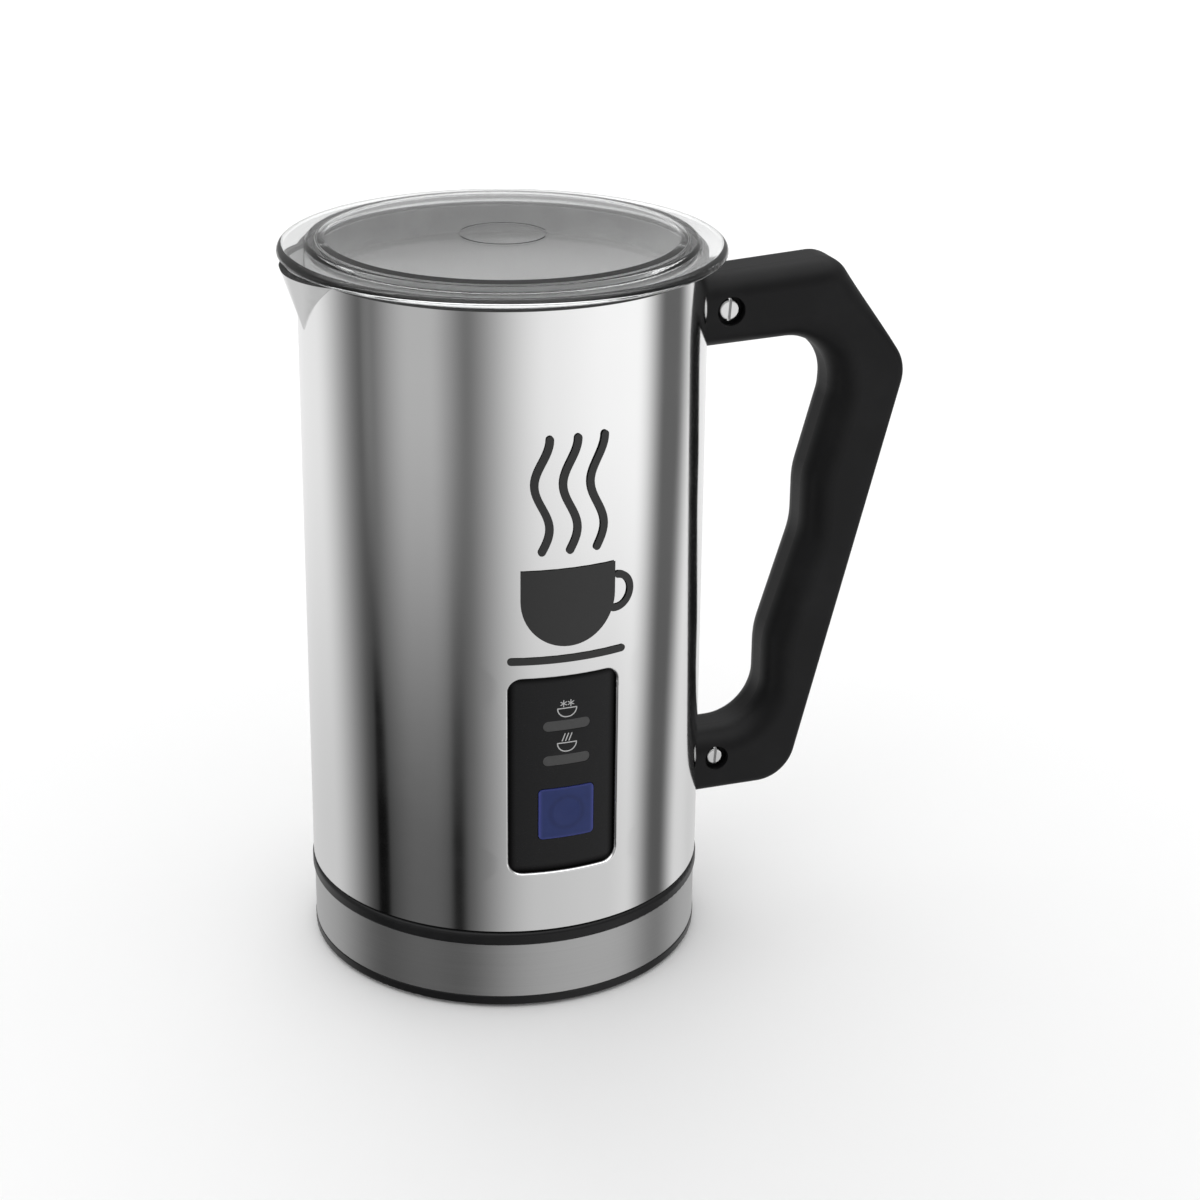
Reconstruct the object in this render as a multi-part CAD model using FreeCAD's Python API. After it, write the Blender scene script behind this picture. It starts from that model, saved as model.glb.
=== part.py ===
"""Electric milk frother: a lift-off steel jug with a side handle, a clear lid and a round power base.

Millimetres. +Z is up, the jug's axis is the Z axis, and z = 0 is the surface that the foot ring stands on.
The control panel faces -Y, the handle is on +X, and the pouring lip is on -X.
Each node is one named piece, and is written to parts/NODE.step.
"""
import FreeCAD, Part
import math
import os

V = FreeCAD.Vector
X_AXIS = V(1, 0, 0)
Y_AXIS = V(0, 1, 0)
Z_AXIS = V(0, 0, 1)

# ---------------------------------------------------------------- driving dimensions
FIT = 0.05                # radial clearance of a running or plugged fit
GAP = 0.3                 # clearance between pieces that move past each other

# power base
BASE_R = 54.8             # lower black ring
BAND_R = 54.65            # brushed band
BAND_T = 0.8
FOOT_LIFT = 0.6           # lower ring above the table
FLOOR_Z = 1.6             # underside of the floor plate
BAND_Z0 = 3.6
BAND_Z1 = 19.4
BEAD_R = 55.2             # upper black ring
BEAD_Z1 = 23.3
DECK_Z = 19.6             # floor of the dish that the jug stands in
DISH_R = 53.1
FOOT_RING_R = 46.0        # outside of the rubber foot ring
FOOT_RING_W = 5.0
BASE_SCREW_RING_R = 32.0
FLOOR_TOP_Z = 3.4
FLOOR_RIM_R = 51.6        # short rim of the floor plate inside the band
FLOOR_RIM_TOP = 6.0
DECK_T = 2.2              # thickness of the deck under the dish
SKIRT_T = 1.8             # moulded skirts of the deck and the jug's bottom
PLUG_FLANGE_R = 12.0
PLUG_Z0 = 13.7
PLUG_R = 7.0
PLUG_TOP = 29.5
CONTACT_Z0 = 16.0         # bottom of the plug's centre hole and ring slot
LIVE_R = 2.1              # plug's centre hole
SLOT_IN_R = 3.4           # plug's ring slot
SLOT_OUT_R = 5.5
INLET_Z = 11.5
INLET_HOLE_R = 4.6

# jug
JUG_Z0 = 23.8             # lower edge of the steel wall
RIM_Z = 196.3
JUG_R_LOW = 54.9
JUG_R_TOP = 54.4
WALL_T = 0.6
BOWL_T = 0.8
BOWL_R_TOP = 53.4         # outside of the inner vessel under the rim
BOWL_R_LOW = 41.0
BOWL_Z0 = 63.0
BOWL_FLOOR_Z = 64.2
CONE_Z0 = 104.0
CONE_Z1 = 117.0
NEST_R = 52.6             # lower step of the jug that drops into the dish
SOCKET_R = 10.6           # hole in the jug's bottom for the connector

# pouring lip, a cone that widens upwards
LIP_TIP_R = 59.6
LIP_Z0 = 180.5
LIP_CONE_R = 24.3

# control panel
WIN_X = -0.8              # middle of the window
WIN_HALF_W = 14.8
WIN_Z0 = 41.0
WIN_Z1 = 97.7
WIN_ROUND = 1.0           # rolled edge of the window
WIN_CORNER_R = 3.6
WIN_LIP = 1.4             # depth of the edge turned in around the window
PANEL_R = 53.4
PANEL_BACK_R = 51.0
LIGHT_Z = (83.3, 73.3)
LIGHT_LEN = 13.0
LIGHT_H = 2.9
BUTTON_W = 15.4
BUTTON_Z0 = 50.5
BUTTON_Z1 = 65.1
BUTTON_R = 53.6
BUTTON_TRAVEL = 0.6
BOARD_Y = -47.6           # outer face of the circuit board
BOARD_T = 1.6
BOARD_HALF_W = 12.0
BOARD_Z0 = 42.5
BOARD_Z1 = 96.5
BOARD_FIX_X = 9.0         # screws of the circuit board, either side of the middle
BOARD_FIX_Z = (45.0, 94.0)
SWITCH_FRONT_Y = -49.2
SWITCH_HALF_W = 3.0
PLUNGER_R = 1.7
PLUNGER_FRONT_Y = -49.8   # also the button's face that presses it

# handle
HANDLE_HALF_T = 10.0
GRIP_ROUND = 7.5
TOP_ROUND = 6.5
EDGE_ROUND = 2.5
ARM_END_X = 45.0          # inner end of both arms before they are trimmed to the jug
HANDLE_FIX = ((61.9, 178.4, 3.15), (61.6, 44.2, 2.65))    # x, z and head radius of each fixing screw
SCREW_SEAT = 3.1          # depth of the seat under the handle's side
SCREW_GAP = 0.9           # room round the screw's head
SCREW_R = 1.7
SCREW_END_Y = 5.5
LUG_HALF_T = 2.0
LUG_REACH = 5.0           # lug past the screw, and half its height less 0.5
LUG_GAP = 0.2             # room round the lug in the handle

# drive and heating, under the inner vessel
HEATER_Z0 = 58.0
HEATER_R = 38.5
HEATER_IN_R = 19.0
ELEMENT_R = 33.5
ELEMENT_WIRE_R = 2.8
ROTOR_R = 16.0
ROTOR_Z0 = 57.0
ROTOR_Z1 = 61.6
MOTOR_R = 12.0
MOTOR_Z0 = 34.0
MOTOR_Z1 = 52.8
MOTOR_SCREW_X = 8.0
BRACKET_Z1 = 54.0
BRACKET_T = 1.2
BRACKET_RING_R = 24.0     # heater plate's pillars and the bracket's arms
SENSOR_RING_R = 25.0
SHAFT_R = 1.0
DRIVE_MAGNET_R = 4.0
DRIVE_MAGNET_RING_R = 10.0

# whisk
PIN_R = 2.0
PIN_TOP = 79.0
WHISK_Z0 = 67.3
HUB_R = 5.0
HUB_TOP = 78.0
WHISK_RIM_R = 12.4
WHISK_RIM_T = 1.4
POD_RING_R = 8.0          # magnet pods
POD_R = 2.8
WHISK_MAGNET_R = 2.2
COIL_RING_R = 14.6
COIL_R = 2.1
COIL_Z = 69.1

# lid
LID_R = 59.5
LID_Z0 = 198.5
LID_Z1 = 200.7
DOME_R0 = 52.3
DOME_R1 = 47.0
DOME_Z = 202.4
LID_T = 1.4               # top plate and skirt
LID_GROOVE_R = 11.75      # moulded ring on the top
SKIRT_R = 51.4
SKIRT_Z0 = 187.5

PARTS = {}


# ---------------------------------------------------------------- helpers
def outline(corners, height=0.0):
    """Closed wire in the XZ plane at y = height, from (x, z) or (x, z, corner radius)."""
    points = [(c[0], c[1], c[2] if len(c) > 2 else 0.0) for c in corners]
    spans = []
    for i, (x, z, r) in enumerate(points):
        corner = V(x, height, z)
        before = (V(points[i - 1][0], height, points[i - 1][1]) - corner).normalize()
        nxt = points[(i + 1) % len(points)]
        after = (V(nxt[0], height, nxt[1]) - corner).normalize()
        if r == 0.0:
            spans.append((corner, None, corner))
            continue
        half = before.getAngle(after) / 2
        reach = r / math.tan(half)
        bisector = (before + after).normalize()
        centre = corner + bisector * (r / math.sin(half))
        spans.append((corner + before * reach, centre - bisector * r, corner + after * reach))
    edges = []
    for i, (start, middle, end) in enumerate(spans):
        if middle is not None:
            edges.append(Part.Arc(start, middle, end).toShape())
        following = spans[(i + 1) % len(spans)][0]
        if (following - end).Length > 1e-6:
            edges.append(Part.LineSegment(end, following).toShape())
    return Part.Wire(edges)


def turned(corners):
    """Solid of revolution about Z from a closed (radius, z[, corner radius]) outline."""
    return Part.Face(outline(corners)).revolve(V(), Z_AXIS, 360)


def slab(corners, y0, y1):
    """Outline in XZ, extruded from y0 to y1."""
    return Part.Face(outline(corners, y0)).extrude(V(0, y1 - y0, 0))


def cylinder(r, z0, z1, x=0.0, y=0.0):
    """Upright cylinder."""
    return Part.makeCylinder(r, z1 - z0, V(x, y, z0), Z_AXIS)


def tube(r_out, r_in, z0, z1, x=0.0, y=0.0):
    """Upright tube."""
    return cylinder(r_out, z0, z1, x, y).cut(cylinder(r_in, z0, z1, x, y))


def rod_y(r, y0, y1, x=0.0, z=0.0):
    """Cylinder along Y."""
    return Part.makeCylinder(r, y1 - y0, V(x, y0, z), Y_AXIS)


def block(x0, x1, y0, y1, z0, z1):
    """Box from its corners."""
    return Part.makeBox(x1 - x0, y1 - y0, z1 - z0, V(x0, y0, z0))


def rect(x0, x1, z0, z1, r=0.0):
    """Corners of a rectangle in XZ with one corner radius."""
    return [(x0, z0, r), (x1, z0, r), (x1, z1, r), (x0, z1, r)]


def on_circle(radius, angle):
    """Point of a circle about Z, as (x, y), at an angle in degrees from +X."""
    return radius * math.cos(math.radians(angle)), radius * math.sin(math.radians(angle))


def around(count, radius, start=0.0):
    """Centres of pieces spaced evenly on a circle, with their angles in degrees."""
    for i in range(count):
        angle = start + i * 360.0 / count
        x, y = on_circle(radius, angle)
        yield x, y, angle


def union(shapes):
    """One solid from touching shapes."""
    result = shapes[0]
    for shape in shapes[1:]:
        result = result.fuse(shape)
    return result.removeSplitter()


def add(name, shape):
    """Keep a finished piece under its node name."""
    PARTS[name] = shape


# ---------------------------------------------------------------- power base
def base_floor():
    """Bottom cover with the lower black ring, screw holes and a short rim inside the band."""
    rim_in = FLOOR_RIM_R - 1.2
    plate = turned([(0, FLOOR_Z), (51.0, FLOOR_Z), (51.8, FOOT_LIFT), (BASE_R, FOOT_LIFT, 0.9),
                    (BASE_R, BAND_Z0, 0.4), (FLOOR_RIM_R, BAND_Z0), (FLOOR_RIM_R, FLOOR_RIM_TOP),
                    (rim_in, FLOOR_RIM_TOP), (rim_in, FLOOR_TOP_Z), (0, FLOOR_TOP_Z)])
    for x, y, _ in around(3, BASE_SCREW_RING_R, 30):
        plate = plate.cut(cylinder(1.7, 0, 6, x, y))
    return plate


def base_band():
    """Brushed steel sleeve with the lead's hole at the back."""
    sleeve = tube(BAND_R, BAND_R - BAND_T, BAND_Z0, BAND_Z1)
    return sleeve.cut(rod_y(INLET_HOLE_R, 45, 60, 0, INLET_Z))


def base_deck():
    """Upper cover: bead under the jug, shallow dish, skirt inside the band and a bore for the connector."""
    skirt_r = BAND_R - BAND_T - 0.05
    skirt_z0 = FLOOR_RIM_TOP + 1.0
    under = DECK_Z - DECK_T
    bore_r = PLUG_FLANGE_R + FIT
    deck = turned([(bore_r, under), (skirt_r - SKIRT_T, under), (skirt_r - SKIRT_T, skirt_z0),
                   (skirt_r, skirt_z0), (skirt_r, BAND_Z1), (BEAD_R, BAND_Z1, 0.7), (BEAD_R, BEAD_Z1, 1.3),
                   (DISH_R, BEAD_Z1, 0.5), (DISH_R, DECK_Z, 0.5), (bore_r, DECK_Z)])
    for x, y, _ in around(3, BASE_SCREW_RING_R, 30):
        deck = deck.fuse(tube(3.6, 1.3, FLOOR_TOP_Z, under, x, y))
    shelf_top = PLUG_Z0 - 0.1
    collar_r = PLUG_FLANGE_R + 2.5
    shelf = tube(collar_r, PLUG_FLANGE_R - 2.0, shelf_top - 1.6, shelf_top)
    collar = tube(collar_r, bore_r, shelf_top, under)
    deck = union([deck, shelf, collar])
    return deck.cut(rod_y(INLET_HOLE_R, 45, 60, 0, INLET_Z))


def foot_ring():
    """Rubber ring under the floor plate, which the whole appliance stands on."""
    flare = 0.4
    inner = FOOT_RING_R - FOOT_RING_W
    return turned([(inner, 0, 0.5), (FOOT_RING_R, 0, 0.5),
                   (FOOT_RING_R + flare, FLOOR_Z), (inner - flare, FLOOR_Z)])


def base_screws():
    """Three screws that hold the floor to the deck's pillars."""
    screws = []
    for x, y, _ in around(3, BASE_SCREW_RING_R, 30):
        head = cylinder(2.8, FOOT_LIFT, FLOOR_Z, x, y).cut(block(x - 2, x + 2, y - 0.35, y + 0.35, 0, 1.1))
        screws.append(head.fuse(cylinder(1.25, FLOOR_Z, 13.0, x, y)))
    return Part.makeCompound(screws)


def cord_inlet():
    """Rubber bush at the back of the band, where the mains lead goes in."""
    neck_r = INLET_HOLE_R - 0.1
    bush = turned([(0, 0), (5.2, 0), (5.2, 1.3), (neck_r, 1.3), (neck_r, 4.6),
                   (6.2, 4.6), (6.2, 6.0, 0.9), (0, 6.0)])
    bush = bush.cut(cylinder(3.1, 1.2, 7.0))
    bush.rotate(V(), X_AXIS, -90)
    return bush.translate(V(0, 50.25, INLET_Z))


def connector_plug():
    """Base half of the connector: flange in the deck's bore, post with a centre hole and a ring slot."""
    post = turned([(0, PLUG_Z0), (PLUG_FLANGE_R, PLUG_Z0), (PLUG_FLANGE_R, DECK_Z, 0.4), (PLUG_R, DECK_Z),
                   (PLUG_R, PLUG_TOP, 1.2), (0, PLUG_TOP)])
    above = PLUG_TOP + 1.5
    post = post.cut(cylinder(LIVE_R, CONTACT_Z0, above))
    return post.cut(tube(SLOT_OUT_R, SLOT_IN_R, CONTACT_Z0, above))


def connector_contacts():
    """Brass sleeves of the plug: one in the centre hole and one lining the ring slot."""
    live = tube(LIVE_R, LIVE_R - 0.5, CONTACT_Z0, PLUG_TOP - 2.0)
    neutral = tube(SLOT_OUT_R, SLOT_OUT_R - 0.4, CONTACT_Z0, PLUG_TOP - 2.5)
    return Part.makeCompound([live, neutral])


# ---------------------------------------------------------------- jug
def wall_r(z):
    """Outer radius of the slightly tapered steel wall at height z."""
    return JUG_R_LOW + (JUG_R_TOP - JUG_R_LOW) * (z - JUG_Z0) / (RIM_Z - JUG_Z0)


def lip_cone(inset):
    """Cone of the pouring lip, set in by a wall thickness."""
    top_z = RIM_Z + 6.0
    grow = (top_z - LIP_Z0) / (RIM_Z - LIP_Z0)
    tip = wall_r(LIP_Z0) + (LIP_TIP_R - wall_r(LIP_Z0)) * grow - inset
    top_r = LIP_CONE_R * grow - inset
    start_r = 0.4
    start = Part.makeCircle(start_r, V(start_r + inset - wall_r(LIP_Z0), 0, LIP_Z0), Z_AXIS)
    end = Part.makeCircle(top_r, V(top_r - tip, 0, top_z), Z_AXIS)
    return Part.makeLoft([Part.Wire(start), Part.Wire(end)], True)


def jug_shell():
    """Polished outer wall with the pouring lip, and a window whose edge is turned in around the panel."""
    outer = turned([(0, JUG_Z0), (JUG_R_LOW, JUG_Z0), (JUG_R_TOP, RIM_Z), (0, RIM_Z)])
    above = cylinder(80, RIM_Z, RIM_Z + 20)
    outer = outer.fuse(lip_cone(0).cut(above))
    bore_low = JUG_R_LOW - WALL_T
    bore_top = JUG_R_TOP - WALL_T
    inner = turned([(0, JUG_Z0 - 1), (bore_low, JUG_Z0 - 1), (bore_top, RIM_Z + 1), (0, RIM_Z + 1)])
    inner = inner.fuse(lip_cone(WALL_T))
    shell = outer.cut(inner)
    edge = window_outline(WALL_T)
    turned_in = slab(edge, -60, 0).common(tube(JUG_R_LOW - 0.3, bore_low - WIN_LIP, 20, 120))
    hole = slab(window_outline(0), -60, -20)
    shell = shell.fuse(turned_in).cut(hole)
    rounded = [e for e in shell.Edges if window_rim(e)]
    return shell.makeFillet(WIN_ROUND, rounded)


def window_outline(grow):
    """Outline of the panel window in XZ, grown on all sides."""
    x0 = WIN_X - WIN_HALF_W - grow
    x1 = WIN_X + WIN_HALF_W + grow
    return rect(x0, x1, WIN_Z0 - grow, WIN_Z1 + grow, WIN_CORNER_R + grow)


def window_rim(edge):
    """True for the window's edges on the jug's outer surface."""
    box = edge.BoundBox
    middle = edge.valueAt((edge.FirstParameter + edge.LastParameter) / 2)
    on_surface = abs(math.hypot(middle.x, middle.y) - wall_r(middle.z)) < 0.02
    in_window = box.YMax < -40 and box.ZMin > WIN_Z0 - 0.1 and box.ZMax < WIN_Z1 + 0.1
    return on_surface and in_window


def milk_bowl():
    """Inner vessel: narrow heated bottom, cone, wide top with its own lip, and a rim over the wall."""
    outer = turned([(0, BOWL_Z0), (BOWL_R_LOW, BOWL_Z0, 5.0), (BOWL_R_LOW, CONE_Z0, 6.0),
                    (BOWL_R_TOP, CONE_Z1, 6.0), (BOWL_R_TOP, RIM_Z), (0, RIM_Z)])
    low_r = BOWL_R_LOW - BOWL_T
    high_r = BOWL_R_TOP - BOWL_T
    inner = turned([(0, BOWL_FLOOR_Z), (low_r, BOWL_FLOOR_Z, 4.2), (low_r, CONE_Z0 + 0.3, 6.8),
                    (high_r, CONE_Z1 + 0.3, 5.2), (high_r, RIM_Z + 3), (0, RIM_Z + 3)])
    set_in = WALL_T + 0.35
    outer = outer.fuse(lip_cone(set_in).cut(cylinder(80, RIM_Z, RIM_Z + 20)))
    inner = inner.fuse(lip_cone(set_in + BOWL_T))
    rim_top = RIM_Z + 0.7
    rim = cylinder(JUG_R_TOP, RIM_Z, rim_top)
    lip_rim = lip_cone(0).common(cylinder(80, RIM_Z, rim_top))
    return outer.fuse(rim).fuse(lip_rim).cut(inner).removeSplitter()


def jug_bottom():
    """Black bottom cover: nest that drops into the dish, and a skirt inside the steel wall."""
    skirt_r = JUG_R_LOW - WALL_T - 0.1
    skirt_in = skirt_r - SKIRT_T
    skirt_top = 33.0
    floor_z0 = DECK_Z + GAP
    floor_z1 = floor_z0 + 2.0
    nest_in = NEST_R - 2.0
    return turned([(SOCKET_R, floor_z0), (NEST_R, floor_z0, 0.8), (NEST_R, JUG_Z0 - 0.4),
                   (skirt_r, JUG_Z0 + 0.4), (skirt_r - 0.05, skirt_top), (skirt_in, skirt_top),
                   (skirt_in, JUG_Z0 + 1.0), (nest_in, JUG_Z0 - 0.2), (nest_in, floor_z1),
                   (SOCKET_R, floor_z1)])


def connector_socket():
    """Round jug half of the connector, open downwards over the plug's post."""
    z0 = DECK_Z + GAP
    neck_r = SOCKET_R - FIT
    body_r = SOCKET_R - 0.6
    flange_r = SOCKET_R + 1.9
    cavity_r = PLUG_R + 0.4
    cavity_top = PLUG_TOP + 1.2
    top = cavity_top + 1.8
    return turned([(cavity_r, z0), (neck_r, z0), (neck_r, z0 + 2.05), (flange_r, z0 + 2.05),
                   (flange_r, z0 + 4.0), (body_r, z0 + 4.0), (body_r, top), (0, top),
                   (0, cavity_top), (cavity_r, cavity_top)])


def socket_contacts():
    """Brass pin and ring of the socket, which enter the plug's hole and slot."""
    top = PLUG_TOP + 1.2
    pin = turned([(0, 21.0), (1.1, 21.8, 0.3), (1.1, top), (0, top)])
    ring = tube(4.7, 4.0, 21.5, top)
    return Part.makeCompound([pin, ring])


# ---------------------------------------------------------------- control panel
def panel_layer(corners, r_in, r_out):
    """Part of a concentric layer behind the window, cut to an XZ outline."""
    return slab(corners, -60, -30).common(tube(r_out, r_in, 20, 120))


def light_outline(z, grow=0.0):
    """Pill outline of a light window."""
    half = LIGHT_H / 2 + grow
    return rect(-LIGHT_LEN / 2 - grow, LIGHT_LEN / 2 + grow, z - half, z + half, half - 0.01)


def panel_plate():
    """Black plate in the window, with openings for two lights and the button, and four board pillars."""
    front = panel_layer(window_outline(-0.1), PANEL_BACK_R, PANEL_R)
    flange = panel_layer(window_outline(WIN_LIP), PANEL_BACK_R, JUG_R_LOW - WALL_T - WIN_LIP - FIT)
    plate = front.fuse(flange)
    for x, z in board_fixings():
        plate = plate.fuse(rod_y(2.2, -PANEL_BACK_R - 0.2, BOARD_Y, x, z))
        plate = plate.cut(rod_y(0.85, -PANEL_BACK_R + 0.6, BOARD_Y + 1, x, z))
    for z in LIGHT_Z:
        plate = plate.cut(slab(light_outline(z, 0.05), -60, -30))
    hole = rect(-BUTTON_W / 2 - 0.2, BUTTON_W / 2 + 0.2, BUTTON_Z0 - 0.2, BUTTON_Z1 + 0.2, 1.4)
    return plate.cut(slab(hole, -60, -30)).removeSplitter()


def board_fixings():
    """Places of the circuit board's four screws, as (x, z)."""
    return [(x, z) for z in BOARD_FIX_Z for x in (-BOARD_FIX_X, BOARD_FIX_X)]


def light_window(z):
    """Smoked pill-shaped light window."""
    return panel_layer(light_outline(z), PANEL_BACK_R - 0.4, PANEL_R - 0.1)


def push_button():
    """Square button with a round finger dish, a flange behind the plate and a stem for the switch."""
    centre_z = (BUTTON_Z0 + BUTTON_Z1) / 2
    cap = slab(rect(-BUTTON_W / 2, BUTTON_W / 2, BUTTON_Z0, BUTTON_Z1, 1.2), -60, PLUNGER_FRONT_Y)
    cap = cap.common(cylinder(BUTTON_R, 40, 80))
    dish_r = 30.0
    cap = cap.cut(Part.makeSphere(dish_r, V(0, -BUTTON_R - dish_r + 0.35, centre_z)))
    half_w = BUTTON_W / 2 + 1.0
    flange = block(-half_w, half_w, PLUNGER_FRONT_Y, PLUNGER_FRONT_Y + 0.9,
                   BUTTON_Z0 - 1.0, BUTTON_Z1 + 1.0)
    pocket_y = -51.4
    pocket = block(-4.0, 4.0, pocket_y, -48.0, centre_z - 4.0, centre_z + 4.0)
    stem = rod_y(1.5, pocket_y, PLUNGER_FRONT_Y - FIT, 0, centre_z)
    return union([cap.fuse(flange).cut(pocket), stem])


def control_board():
    """Circuit board behind the panel."""
    board = block(-BOARD_HALF_W, BOARD_HALF_W, BOARD_Y, BOARD_Y + BOARD_T, BOARD_Z0, BOARD_Z1)
    for x, z in board_fixings():
        board = board.cut(rod_y(1.1, -60, -30, x, z))
    return board


def board_screws():
    """Four small screws that hold the board to the panel's pillars."""
    screws = []
    back = BOARD_Y + BOARD_T
    for x, z in board_fixings():
        screws.append(rod_y(1.9, back, back + 1.1, x, z).fuse(rod_y(0.8, BOARD_Y - 2.2, back, x, z)))
    return Part.makeCompound(screws)


def switch_body():
    """Body of the tact switch on the board, bored for its plunger."""
    centre_z = (BUTTON_Z0 + BUTTON_Z1) / 2
    body = block(-SWITCH_HALF_W, SWITCH_HALF_W, SWITCH_FRONT_Y, BOARD_Y,
                 centre_z - SWITCH_HALF_W, centre_z + SWITCH_HALF_W)
    return body.cut(rod_y(PLUNGER_R + FIT, -60, BOARD_Y - 0.2, 0, centre_z))


def switch_plunger():
    """Plunger of the tact switch."""
    centre_z = (BUTTON_Z0 + BUTTON_Z1) / 2
    return rod_y(PLUNGER_R, PLUNGER_FRONT_Y, BOARD_Y - BUTTON_TRAVEL - 0.3, 0, centre_z)


def indicator_leds():
    """Two surface-mount lights on the board, behind the light windows."""
    lights = [block(-1.6, 1.6, BOARD_Y - 1.2, BOARD_Y, z - 0.8, z + 0.8) for z in LIGHT_Z]
    return Part.makeCompound(lights)


# ---------------------------------------------------------------- handle
def handle_outline():
    """Side view of the handle: two arms, an angled back and a waved finger side."""
    outside = [(84.5, 34.1, 12.0), (116.6, 158.2, 12.0), (95.0, 190.4, 9.0), (ARM_END_X, 187.3)]
    inside = [(ARM_END_X, 166.9), (95.6, 168.7, 14.0), (94.7, 150.5, 12.0), (87.9, 126.0, 24.0),
              (87.9, 110.5, 24.0), (77.6, 78.0, 26.0), (77.6, 52.2, 13.5), (ARM_END_X, 52.2)]
    return outside + inside + [(ARM_END_X, 34.1)]


def handle():
    """Moulded grip with soft edges, ended against the jug and pocketed for its lugs and screws."""
    grip = rounded_grip(slab(handle_outline(), -HANDLE_HALF_T, HANDLE_HALF_T))
    grip = grip.cut(cylinder(JUG_R_LOW + 0.15, 0, 250))
    near_side = -HANDLE_HALF_T
    half_t = LUG_HALF_T + LUG_GAP / 2
    half_h = LUG_REACH + 0.5 + LUG_GAP
    for x, z, head_r in HANDLE_FIX:
        grip = grip.cut(block(50, x + LUG_REACH + LUG_GAP, -half_t, half_t, z - half_h, z + half_h))
        grip = grip.cut(rod_y(SCREW_R + 0.4, near_side - 1, SCREW_END_Y + 0.5, x, z))
        grip = grip.cut(rod_y(head_r + SCREW_GAP, near_side - 1, near_side + SCREW_SEAT, x, z))
    return grip


def rounded_grip(grip):
    """Rounds the grip: full on the finger side and along the top, less on the back and the bottom."""
    radii = []
    for number, edge in enumerate(grip.Edges, 1):
        box = edge.BoundBox
        across = box.YLength > 1.0
        at_end = box.XMax < ARM_END_X + 0.1
        if across or at_end:
            continue
        ends = [edge.valueAt(edge.FirstParameter), edge.valueAt(edge.LastParameter)]
        middle = edge.valueAt((edge.FirstParameter + edge.LastParameter) / 2)
        first, last = [GRIP_ROUND if on_finger_side(middle) else outer_round(p) for p in ends]
        radii.append((number, first, last))
    document = FreeCAD.newDocument()
    sharp = document.addObject("Part::Feature")
    sharp.Shape = grip
    soft = document.addObject("Part::Fillet")
    soft.Base = sharp
    soft.Edges = radii
    document.recompute()
    return soft.Shape.copy()


def outer_round(p):
    """Edge radius at a point of the handle's outer contour."""
    return TOP_ROUND if p.z > 183 else EDGE_ROUND


def on_finger_side(p):
    """True for points on the hand opening's outline."""
    inside_x = p.x < 78 if p.z < 80 else p.x < 96
    return 51 < p.z < 170 and inside_x


def handle_lug(index):
    """Steel lug welded to the jug's wall, threaded for the handle screw."""
    x, z, _ = HANDLE_FIX[index]
    half_h = LUG_REACH + 0.5
    lug = block(53.0, x + LUG_REACH, -LUG_HALF_T, LUG_HALF_T, z - half_h, z + half_h)
    lug = lug.cut(cylinder(wall_r(z) + 0.02, z - 10, z + 10))
    return lug.cut(rod_y(SCREW_R + FIT, -5, 5, x, z))


def handle_screws():
    """Two slotted screws in the side of the handle."""
    screws = []
    seat = -HANDLE_HALF_T + SCREW_SEAT
    head_t = 1.7
    slot_half_w = 0.45
    for x, z, head_r in HANDLE_FIX:
        head = rod_y(head_r, seat - head_t, seat, x, z)
        rim = [e for e in head.Edges if e.BoundBox.YMax < seat - head_t + 0.1]
        head = head.makeFillet(0.8, rim)
        slot = block(x - slot_half_w, x + slot_half_w, seat - head_t - 0.3, seat - 0.8, z - 5, z + 5)
        slot.rotate(V(x, 0, z), Y_AXIS, 4)
        screws.append(head.cut(slot).fuse(rod_y(SCREW_R, seat, SCREW_END_Y, x, z)))
    return Part.makeCompound(screws)


# ---------------------------------------------------------------- heating and drive
def heater_plate():
    """Cast ring clamped under the vessel, grooved for the element, with three bracket pillars."""
    ring = turned([(HEATER_IN_R, HEATER_Z0), (HEATER_R, HEATER_Z0, 0.8), (HEATER_R, BOWL_Z0 - 2.2),
                   (HEATER_R - 2.5, BOWL_Z0), (HEATER_IN_R, BOWL_Z0)])
    for x, y, _ in around(3, BRACKET_RING_R, 90):
        ring = ring.fuse(cylinder(3.2, BRACKET_Z1, HEATER_Z0 + 1, x, y))
        ring = ring.cut(cylinder(1.4, BRACKET_Z1 - 1, HEATER_Z0 + 3, x, y))
    groove = Part.makeTorus(ELEMENT_R, ELEMENT_WIRE_R + 0.05, V(0, 0, HEATER_Z0 + 0.4), Z_AXIS)
    return ring.cut(groove)


def heating_element():
    """Tubular element in the plate's groove, with two terminal ends turned down."""
    z = HEATER_Z0 + 0.4
    circle = Part.Face(Part.Wire(Part.makeCircle(ELEMENT_WIRE_R, V(ELEMENT_R, 0, z), Y_AXIS)))
    ring = circle.revolve(V(), Z_AXIS, 320)
    ring.rotate(V(), Z_AXIS, 110)
    ends = []
    for angle in (112.5, 67.5):
        x, y = on_circle(ELEMENT_R, angle)
        ends.append(cylinder(1.2, z - 10.0, z - 1.0, x, y))
    return union([ring] + ends)


def thermal_cutout():
    """Disc thermostat pressed against the heater plate."""
    x, y = on_circle(SENSOR_RING_R, 30)
    body = cylinder(4.4, HEATER_Z0 - 5.0, HEATER_Z0, x, y)
    return body.fuse(cylinder(1.0, HEATER_Z0 - 8.5, HEATER_Z0 - 5.0, x, y))


def thermistor():
    """Small temperature probe under the heater plate."""
    x, y = on_circle(SENSOR_RING_R, 150)
    return cylinder(2.0, HEATER_Z0 - 4.0, HEATER_Z0, x, y)


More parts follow.
